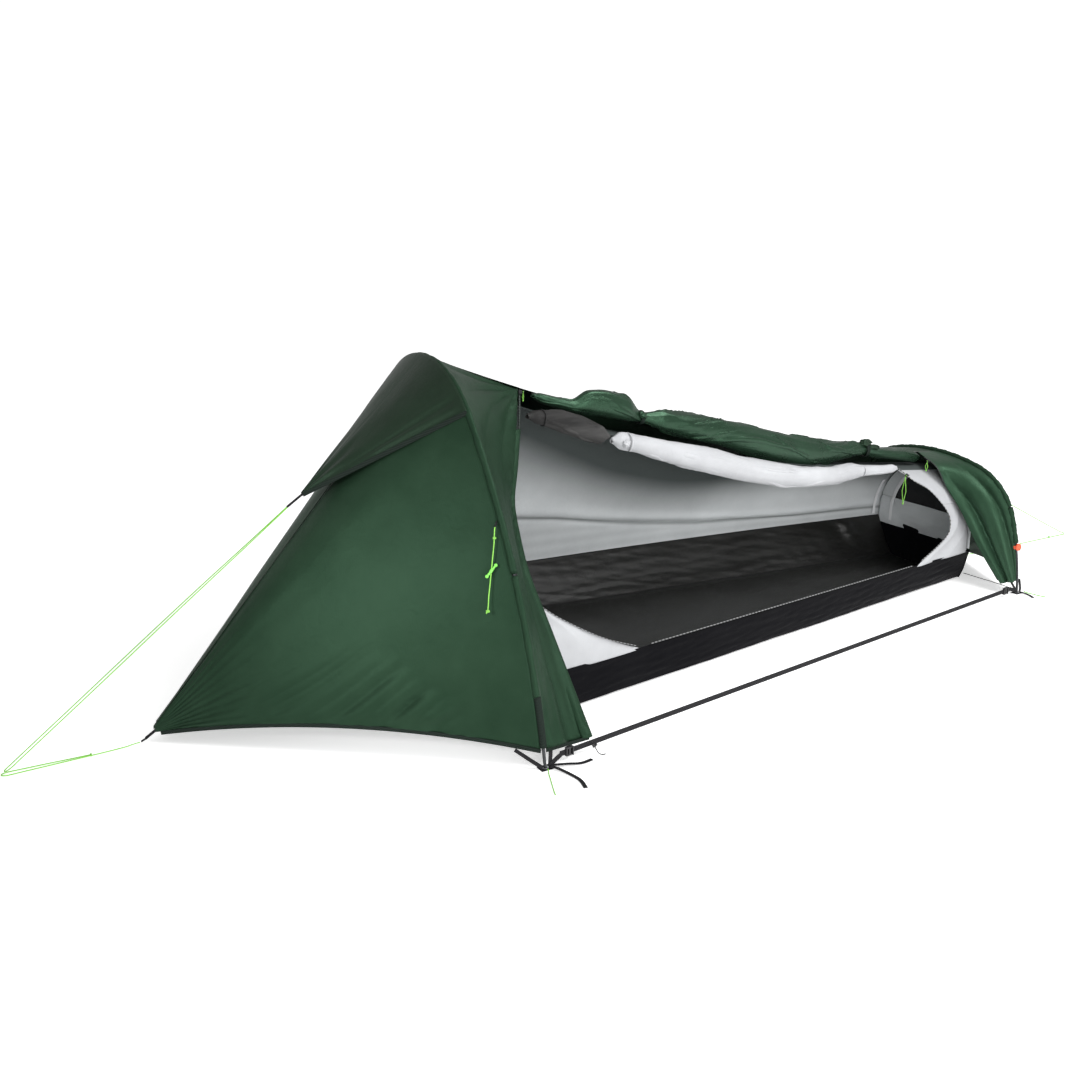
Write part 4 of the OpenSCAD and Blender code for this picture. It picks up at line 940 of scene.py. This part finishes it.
def bunch(name, at, size, paint, seed):
    """Cloth pulled into a small knot: a closed, creased lump."""
    turns, falls = np.linspace(0, 2 * math.pi, 40, endpoint=False), np.linspace(0.05, math.pi - 0.05, 26)
    round_it, down = np.meshgrid(turns, falls)
    x, y, z = np.sin(down) * np.cos(round_it), np.sin(down) * np.sin(round_it), np.cos(down)
    r = 1 + 0.30 * ripple(3.0 * x + 1.5 * z, 3.0 * y, seed) + 0.16 * crease(3 * x + 4 * z + 2 * y)
    grid = place(vec(*at) + np.stack([x, y, z], axis=2) * r[..., None] * vec(*size) / 2)
    uvs = np.stack([round_it, down], axis=2).reshape(-1, 2) * size[0] / 2 * MM
    add_piece(name, grid, capped_faces(26, 40), paint, uvs=uvs)


# The front knot takes the rolled fly's darker copy, and the rear knot and tail the fly's darker copy: painted
# shade.
bunch("fly_tie_knot_front", (704, -50, ridge_z(704) + 14), (30, 20, 22), ROLL_PAINTED_SHADE, 5)
bunch("fly_tie_knot_rear", (1686, -34, ridge_z(1686) + 24), (64, 30, 34), FLY_SHADE_AND_SEAMS, 6)
bunch("fly_tie_tail_rear", (1728, -40, ridge_z(1728) + 14), (70, 22, 18), FLY_SHADE_AND_SEAMS, 8)
bunch("inner_tie_knot", (606, -106, 668), (30, 16, 26), WHITE, 9)
tie_band("fly_tie_front", (705, -32, ridge_z(705) + 6), 21, 14, BINDING, ["fly_door_ties"])
tie_band("fly_tie_rear", (1690, -30, ridge_z(1690) + 2), 25, 14, BINDING, ["fly_door_ties"])
for k, (x, y, z, r) in enumerate([(322, -86, 771, 24), (622, -88, 669, 28), (1630, -86, 457, 20)]):
    tie_band(f"inner_tie_{k}", (x, y, z), r, 6 if k else 3.5, WHITE if k else BLACK_CORD,
             ["inner_door_ties"])

# ---------------------------------------------------------------- inner tent
RIM_Z = (120, 150)
RIM_GAP = 3
FAR_BULGE = 30


def near_rim(v):
    return lerp(400, 200, v)


def far_rim(v):
    return lerp(470, 250, v) + FAR_BULGE * bump(v)


def floor_half(v):
    return lerp(415, 170, v)


def inner_x(v):
    return lerp(*INNER_X, v)


def inner_pt(u, v, side):
    """The inner tent's canopy: u from the ridge to the rim, v from head to foot."""
    a = 90 * u
    x = inner_x(v)
    rim = RIM_Z[0 if side < 0 else 1] + RIM_GAP
    top = ridge_z(x) - INNER_DROP
    y = near_rim(v) if side < 0 else far_rim(v)
    return vec(x, side * y * sin(a), rim + (top - rim) * max(cos(a), 0) ** lerp(1.3, 0.9, v))


def tucked(p, u):
    """The canopy's lowest edge, turned in behind the tub's rim."""
    return p - vec(0, 0, 8 * u ** 24)


def far_wall_pt(s, v):
    """From a strip beyond the ridge on the door side, over the ridge and down to the far rim."""
    strip = 0.07
    if s < strip:
        width = 8 + 54 * float(ease(v, 0.11, 0.15))
        edge = math.degrees(math.asin(width / near_rim(v))) / 90
        return inner_pt(edge * (1 - s / strip), v, -1)
    u = (s - strip) / (1 - strip)
    return tucked(inner_pt(u, v, 1), u) + vec(0, SEAM, 0)


def ledge(s, v):
    """How far below the far wall's long tension fold a point lies; the fold drops away from the head."""
    return s - np.interp(v, (0.1, 0.3, 0.47, 0.59, 0.81, 1.0), (0.72, 0.76, 0.83, 0.87, 0.90, 0.91))


def wall_folds(s, v):
    """Long level tension folds above the tub's rim and slack higher up; both run the length of the tent."""
    level = ledge(s, v) + 0.006 * np.sin(11 * v + 2)
    ridge = 8 * np.exp(-(level / 0.022) ** 2) - 6 * np.exp(-((level - 0.035) / 0.012) ** 2)
    spread = 0.4 + 0.6 * ripple(2 * s, 9 * v, 63)
    lines = 0.9 * np.sin(105 * s + 2.5 * np.sin(3 * v)) * spread
    lines = lines * ease(level, 0.05, 0.08) * ease(1 - s, 0, 0.05)
    hung = 5.0 * np.sin(9 * s + 2.0 * np.sin(4 * v + 1)) * ease(1 - s, 0.3, 0.7)
    drawn = (ridge + lines + hung + 2.4 * ripple(6 * s, 5 * v, 61)) * np.sin(math.pi * v) ** 0.4
    return drawn + ripple(17 * s, 14 * v, 62)


def wall_painted_shade(s, v):
    """Painted shade: darker towards the ridge and in the groove under the fold, a painted highlight band just
    above the fold, and faint painted shade lines lower down.
    """
    level = ledge(s, v)
    shift = 0.13 * ease(v, 0.10, 0.40) - 0.16 * ease(v, 0.50, 0.80)
    above = 1 - ease(level + 0.02 * ripple(5 * s, 9 * v, 64), -0.44 + shift, -0.06 + shift)
    groove = 0.55 * np.exp(-((level - 0.035) / 0.010) ** 2)
    # A painted highlight: a little less painted shade along a band just above the fold.
    lit = 0.06 * (1 - np.exp(-((level + 0.03) / 0.035) ** 2) * ease(v, 0.1, 0.3))
    faint = lit + 0.05 * (1 + np.sin(110 * s + 2.5 * np.sin(3 * v))) * ease(level, 0.05, 0.08)
    return above + groove + faint


# The far wall carries its painted shade as a per-point attribute.
panel("far_wall_cloth", lambda s, v: far_wall_pt(s, 0.003 + 0.996 * v), 240, 120, GREY, ["inner_far_wall"],
      wall_folds, 1, painted_shade=wall_painted_shade)
seam = [far_wall_pt(s, 0.985) + vec(0, -4, 0) for s in np.linspace(0.66, 0.985, 30)]
strap("far_wall_seam", seam, 14, 0.8, SEAM_TAPE, wide=(1, 0, 0))


def door_v(x):
    return (x - INNER_X[0]) / (INNER_X[1] - INNER_X[0])


FRONT_DOOR = [70, 70, 72, 76, 82, 95, 280, 505]
REAR_DOOR = [1836, 1838, 1855, 1915, 1955, 1985, 1957, 1790]


def door_edge(rows, u):
    """The x of the door's edge at u from the ridge to the rim."""
    return float(smooth_sample(rows, u)[0])


def front_corner_pt(u, t):
    edge = door_edge(FRONT_DOOR, u)
    return tucked(inner_pt(u, lerp(0.004, max(door_v(edge), 0.012), t), -1), u) + vec(0, -SEAM, 0)


def rear_corner_pt(u, t):
    edge = door_edge(REAR_DOOR, u)
    return tucked(inner_pt(u, lerp(door_v(edge), 0.99, t), -1), u) + vec(0, -SEAM, 0)


def corner_folds(u, t):
    drawn = 2.5 * np.sin(9 * t + 7 * u) + 1.5 * crease(9 * u + 6 * t) + 1.8 * ripple(7 * u, 6 * t, 71)
    return drawn * ease(u, 0.6, 0.75)


for label, point, edge in (("front", front_corner_pt, 0), ("rear", rear_corner_pt, -1)):
    node_name = [f"inner_{label}_corner"]
    panel(f"{label}_corner_strip", point, 60, 12, WHITE, node_name, span=(0.12, 0.6))
    panel(f"{label}_corner_cloth", point, 50, 40, WHITE, node_name, corner_folds, 1, span=(0.6, 1))


def wall_sheet(name, v, x, z_low, z_high, paint, replaced, inset=5, margin=0, only_margin=False):
    """An upright end wall of the inner tent, cut to the canopy's outline between two heights.

    margin keeps it that far from the far wall, and only_margin makes just the strip that fills the margin."""
    def half(z, side):
        rim = RIM_Z[0 if side < 0 else 1]
        top = ridge_z(inner_x(v)) - INNER_DROP
        c = min(max((z - rim - RIM_GAP) / (top - rim - RIM_GAP), 0), 1) ** (1 / lerp(1.3, 0.9, v))
        reach = near_rim(v) if side < 0 else far_rim(v)
        return max(reach * math.sqrt(max(1 - c * c, 0)) - inset, 2)

    def point(u, t):
        z = lerp(z_high, z_low, u)
        near_y, far_y = -half(z, -1), half(z, 1)
        seam_y = far_y - margin * min(1, far_y / 120)
        return vec(x, lerp(seam_y, far_y, t) if only_margin else lerp(near_y, seam_y, t), z)

    def folds(u, t):
        slack = 2.0 * ripple(7 * u, 9 * t, 81) + 1.5 * np.sin(16 * t + 4 * u)
        return np.zeros_like(t) if only_margin else slack
    panel(name, point, 50, 60, paint, replaced, folds, 1)
    return point


head_top = ridge_z(INNER_X[0]) - INNER_DROP
foot_top = ridge_z(INNER_X[1]) - INNER_DROP
FOOT_X = INNER_X[1] - 3
wall_sheet("head_wall_cloth", 0, INNER_X[0] - 3, 126, head_top - 6, GREY, ["inner_head_wall"])
wall_sheet("foot_wall_cloth", 1, FOOT_X, 124, 235, GREY, ["inner_foot_wall"], inset=0)
foot_mesh = wall_sheet("foot_mesh_cloth", 1, FOOT_X, 236, foot_top - 6, MESH, ["inner_foot_mesh"], 0, 62)
wall_sheet("foot_wall_edge", 1, FOOT_X, 236, foot_top - 6, GREY, (), 0, 62, True)
foot_seam = [foot_mesh(u, 1) + vec(-3, 0, 0) for u in np.linspace(0.25, 1, 14)]
foot_seam += [foot_seam[-1] + vec(0, 8, -24 * k) for k in range(1, 5)]
strap("foot_wall_seam", foot_seam, 14, 0.8, SEAM_TAPE, wide=(0, 1, 0))


def tub_outline(v):
    """The tub's cross-section from the near rim, across the floor, to the far rim."""
    f, n, w = floor_half(v), near_rim(v), far_rim(v)
    return [(-n, RIM_Z[0]), (-lerp(n, f, 0.6), 42), (-f + 4, 5), (-f + 30, 1.5), (0, 1.5),
            (f - 30, 1.5), (f - 4, 6), (lerp(w, f, 0.6), 52), (w, RIM_Z[1])]


TUB_STATIONS = np.array([0.0, 0.16, 0.25, 0.30, 0.50, 0.70, 0.75, 0.84, 1.0])


def tub_pt(s, v):
    rows = tub_outline(v)
    y = float(np.interp(s, TUB_STATIONS, [r[0] for r in rows]))
    z = float(np.interp(s, TUB_STATIONS, [r[1] for r in rows]))
    return vec(inner_x(v), y, z)


def tub_folds(s, v):
    """Crinkled coated cloth: creased walls and a floor that lies flat with a few soft swells."""
    wall = ease(np.abs(s - 0.5), 0.2, 0.3)
    run = 1.2 * np.sin(17 * v + 7 * s + 1.5 * np.sin(9 * v)) * np.clip(ripple(9 * s, 13 * v, 94) + 0.4, 0, 1)
    crinkle = 1.1 * ripple(90 * s, 80 * v, 93) + 0.5 * ripple(190 * s, 170 * v, 96)
    crinkle = crinkle + 0.5 * crease(60 * s + 40 * v)
    patch = np.clip(ripple(4 * s, 7 * v, 97) + 0.35, 0, 1) * ease(0.3 - s, 0.02, 0.08)
    outer = (3.5 * crease(13 * s + 8 * v + 1.5 * np.sin(6 * v)) + 1.5 * crease(31 * s - 13 * v)) * patch
    floor = 1.6 * (1 + ripple(9 * s, 17 * v, 91)) + 0.9 * (1 + ripple(25 * s, 40 * v, 92))
    gather = 7 * np.sin(95 * v + 9 * s) * np.exp(-((v - 0.92) / 0.035) ** 2) * ease(s, 0.76, 0.95)
    held = ease(v, 0, 0.02) * ease(1 - v, 0, 0.02) * ease(s, 0, 0.04) * ease(1 - s, 0, 0.03)
    return ((run + crinkle + outer) * wall + floor * (1 - wall) + gather) * held


TUB_ROWS, TUB_COLS = 150, 240
tub = panel("tub_cloth", tub_pt, TUB_ROWS, TUB_COLS, TUB_PAINTED_SHADE, ["tub_floor"], tub_folds, -1)
# The floor and far wall take the brighter, glossier copy, painted light; the outer near wall keeps the darker
# one, painted shade.
tub.data.materials.append(TUB_GLOSS_PAINTED_LIGHT)
for face in tub.data.polygons:
    face.material_index = int(face.index // (TUB_COLS - 1) > 0.28 * TUB_ROWS)


def tub_end(name, v, x):
    """An upright end of the tub that reaches just past its walls and floor, so that no gap shows."""
    def point(u, t):
        p = lerp(tub_pt(0.27 * (1 - u), v), tub_pt(0.73 + 0.27 * u, v), t)
        return vec(x, 1.012 * p[1], p[2] - 3 * (1 - u))
    panel(name, point, 14, 60, TUB_PAINTED_SHADE, (), lambda u, t: 1.5 * ripple(5 * u, 22 * t, 95) * bump(t), 1)


tub_end("tub_head_cloth", 0, INNER_X[0] + 2)
tub_end("tub_foot_cloth", 1, INNER_X[1] - 2)

# ---------------------------------------------------------------- bindings, zips and webbing
vest_near, vest_far = vestibule_pt(-1), vestibule_pt(1)
UPRIGHT = (0, 0, 1)
HEMS = [("vestibule_hem_near", lambda v: vest_near(1, 0.985 * v), -1, 60, 11),
        ("vestibule_hem_far", lambda v: vest_far(1, 0.985 * v), 1, 60, 11),
        ("side_panel_hem", lambda v: side_pt(1, v), -1, 16, 10),
        ("far_roof_hem", lambda v: far_pt(1, v), 1, 60, 10)]
for name, edge, outward, steps, width in HEMS:
    path = [edge(v) + vec(0, outward, -4) for v in np.linspace(0, 1, steps)]
    strap(name, path, width, 1.6, BINDING, ["hem_binding"] if name == "vestibule_hem_near" else [], UPRIGHT)
for label, s in (("near", 0), ("far", 1)):
    path = [hood_pt(s, v) + vec(0, 0, -3) for v in np.linspace(0, 1, 40)]
    strap(f"hood_edge_{label}", path, 12, 1.6, BINDING, wide=UPRIGHT)
seam = [lerp(vest_near(0, v), vest_far(0, v), 0.5) + vec(-1, 0, 1.5) for v in np.linspace(0, 0.99, 50)]
strap("vestibule_seam", seam, 9, 1.0, FLY_SHADE_AND_SEAMS)

ZIP_PROFILE = np.array([(-1, -0.25), (-0.35, -0.6), (0.35, -0.6), (1, -0.25),
                        (1, 0.25), (0.35, 0.6), (-0.35, 0.6), (-1, 0.25)])


def zip_line(name, path, replaced, radius=2.6, paint=ZIP):
    """A zip's tape with its row of teeth."""
    path = smooth_path(path, 5)
    tube(name, path, radius, paint, replaced, profile=ZIP_PROFILE)


def zip_route(edge, start, off):
    """The zip along a panel's edge, from start along its first stretch almost to the ground."""
    rows = [vec(*p) for p in edge]
    route = [lerp(rows[0], rows[1], start), *rows[1:-1], lerp(rows[-2], rows[-1], 0.9)]
    return [p + vec(*off) for p in route]


def corner_route(rows, first, steps, dx):
    """The inner door's zip beside a corner panel, from u = first down to the rim."""
    return [inner_pt(u, door_v(door_edge(rows, u)), -1) + vec(dx, -4, 0)
            for u in np.linspace(first, 0.98, steps)]


zip_line("side_panel_zip", zip_route(SIDE_EDGE, 0.04, (5, -2, 0)), ["fly_zip_tape"], paint=ZIP_DARK)
zip_line("rear_panel_zip", zip_route(REAR_EDGE, 0.35, (-3, -4, 0)), [], paint=ZIP_DARK)
zip_line("inner_zip_front", corner_route(FRONT_DOOR, 0.14, 14, 2), ["inner_zip"], 2.2)
rim = [inner_pt(1, door_v(x), -1) + vec(0, -6, 3) for x in np.linspace(530, 1760, 14)]
zip_line("inner_zip_rim", rim, [], 2.2)
REAR_ZIP_TOP = [vec(1838, -62, 437), vec(1856, -122, 401)]
zip_line("inner_zip_rear", REAR_ZIP_TOP + corner_route(REAR_DOOR, 0.42, 9, -2), [], 2.2)


def tab(name, a, b, width, replaced=()):
    """A folded webbing tab between two points."""
    path = [lerp(vec(*a), vec(*b), t) for t in np.linspace(0, 1, 6)]
    strap(name, path, width, 2.0, TAPE, replaced, wide=(0, 1, 0))


tab("front_corner_tab", (-800, 0, 38), (-838, 0, 14), 15, ["webbing_tabs"])
tab("front_corner_ring", (-836, 0, 14), (-850, 0, 8), 9)
tab("hood_tab", (-368, 0, 619), (-416, 0, 587), 14)
tab("rear_corner_tab", (2318, 0, 38), (2350, 0, 9), 14)
tab("rear_guy_tab", (2140, 0, 423), (2162, 0, 406), 14)
for side, label in ((-1, "near"), (1, "far")):
    path = [(-8, side * 424, 592), (-16, side * 432, 590), (-24, side * 440, 584)]
    strap(f"side_line_tab_{label}", path, 9, 1.6, wide=UPRIGHT)

# Foot webbing: two legs from the hem to each eyelet, on a small base patch
FEET = [(0, -FRONT_HALF), (0, FRONT_HALF), (HOOP_GAP, -REAR_HALF), (HOOP_GAP, REAR_HALF)]
for k, (fx, fy) in enumerate(FEET):
    side = math.copysign(1, fy)
    for leg, dx in (("a", -24), ("b", 24)):
        foot = [(fx + dx, fy - side * 14, 46), (fx + dx * 0.8, fy - side * 6, 32),
                (fx + dx * 0.55, fy + side * 2, 16), (fx + dx * 0.42, fy + side * 4, 5)]
        if k < 2 and leg == "a":
            foot = [(-62, side * 603, 47), (-46, side * 620, 34), (-26, side * 638, 18), (-9, side * 652, 5)]
        strap(f"foot_leg_{k}_{leg}", smooth_path(foot, 4), 11, 1.8, TAPE,
              ["foot_webbing"] if (k, leg) == (0, "a") else [], wide=(1, 0, 0))
    patch = [(fx + dx, fy, z) for dx, z in ((-17, 0.9), (-10, 1.1), (10, 1.1), (17, 0.9))]
    strap(f"foot_patch_{k}", patch, 28, 1.4)


def strap_path(side):
    ends = [vec(x, side * lerp(FRONT_HALF, REAR_HALF, x / HOOP_GAP), 25) for x in (46, HOOP_GAP - 46)]
    return [lerp(*ends, t) for t in np.linspace(0, 1, 40)]


for side, label in ((-1, "near"), (1, "far")):
    strap(f"ground_strap_{label}_tape", strap_path(side), 15.5, 1.6, TAPE, [f"ground_strap_{label}"],
          UPRIGHT)
    front_lead = [(12, side * 655, 8), (26, side * 652, 17), (48, side * 647, 25)]
    strap(f"strap_lead_front_{label}", smooth_path(front_lead, 4), 15, 1.6, wide=UPRIGHT)
    rear_lead = [(HOOP_GAP - 48, side * 396, 25), (HOOP_GAP - 26, side * 394, 17),
                 (HOOP_GAP - 10, side * 391, 8)]
    strap(f"strap_lead_rear_{label}", smooth_path(rear_lead, 4), 14, 1.6, wide=UPRIGHT)

FRONT_TAIL = [(10, -658, 7), (22, -676, 6), (36, -712, 3), (42, -748, 2.2), (34, -786, 2)]
SIDE_TAIL = [(14, -655, 8), (54, -666, 6), (90, -676, 3), (126, -672, 2.2)]
REAR_TAIL = [(HOOP_GAP + 6, -396, 6), (HOOP_GAP + 12, -412, 4), (HOOP_GAP + 12, -434, 2.4),
             (HOOP_GAP + 2, -458, 2)]
for side, label in ((-1, "near"), (1, "far")):
    for k, points in enumerate((FRONT_TAIL, SIDE_TAIL, REAR_TAIL)):
        path = smooth_path(points if side < 0 else mirrored(points))
        strap(f"strap_tail_{label}_{k}", path, 11, 1.4, TAPE,
              ["strap_tails"] if (side, k) == (-1, 0) else [])

# Hangers between the flysheet's ridge and the inner tent
for k, x in enumerate((90, 1080, 2060)):
    low, high = ridge_z(x) - INNER_DROP + 4, ridge_z(x) - 14
    path = [(x, 4, lerp(low, high, t)) for t in np.linspace(0, 1, 6)]
    strap(f"hanger_{k}", path, 11, 1.6, TAPE, ["inner_hangers"] if k == 0 else [], wide=(1, 0, 0))
    bar = [(x + dx, 4, low + 14) for dx in (-8, -4, 4, 8)]
    tube(f"hanger_hook_{k}", bar, [2.2, 3.0, 3.0, 2.2], HARDWARE, sides=12)

# ---------------------------------------------------------------- CAD nodes that are shown as they are
SHOWN = {POLE: "front_pole rear_pole pole_tips", ALLOY: "pole_ferrules foot_eyelets",
         BLACK_CORD: "shock_cords", LIME: "fly_zip_pull fly_rear_pull inner_zip_pull",
         LIME_PLASTIC: "tensioner_near tensioner_far", ORANGE: "hook_disc",
         HARDWARE: "fly_zip_slider fly_rear_slider inner_zip_slider cord_lock ladder_lock_front_near "
                   "ladder_lock_front_far ladder_lock_rear_near ladder_lock_rear_far"}
for paint, names in SHOWN.items():
    for name in names.split():
        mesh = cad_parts[name].data
        mesh.materials.clear()
        mesh.materials.append(paint)
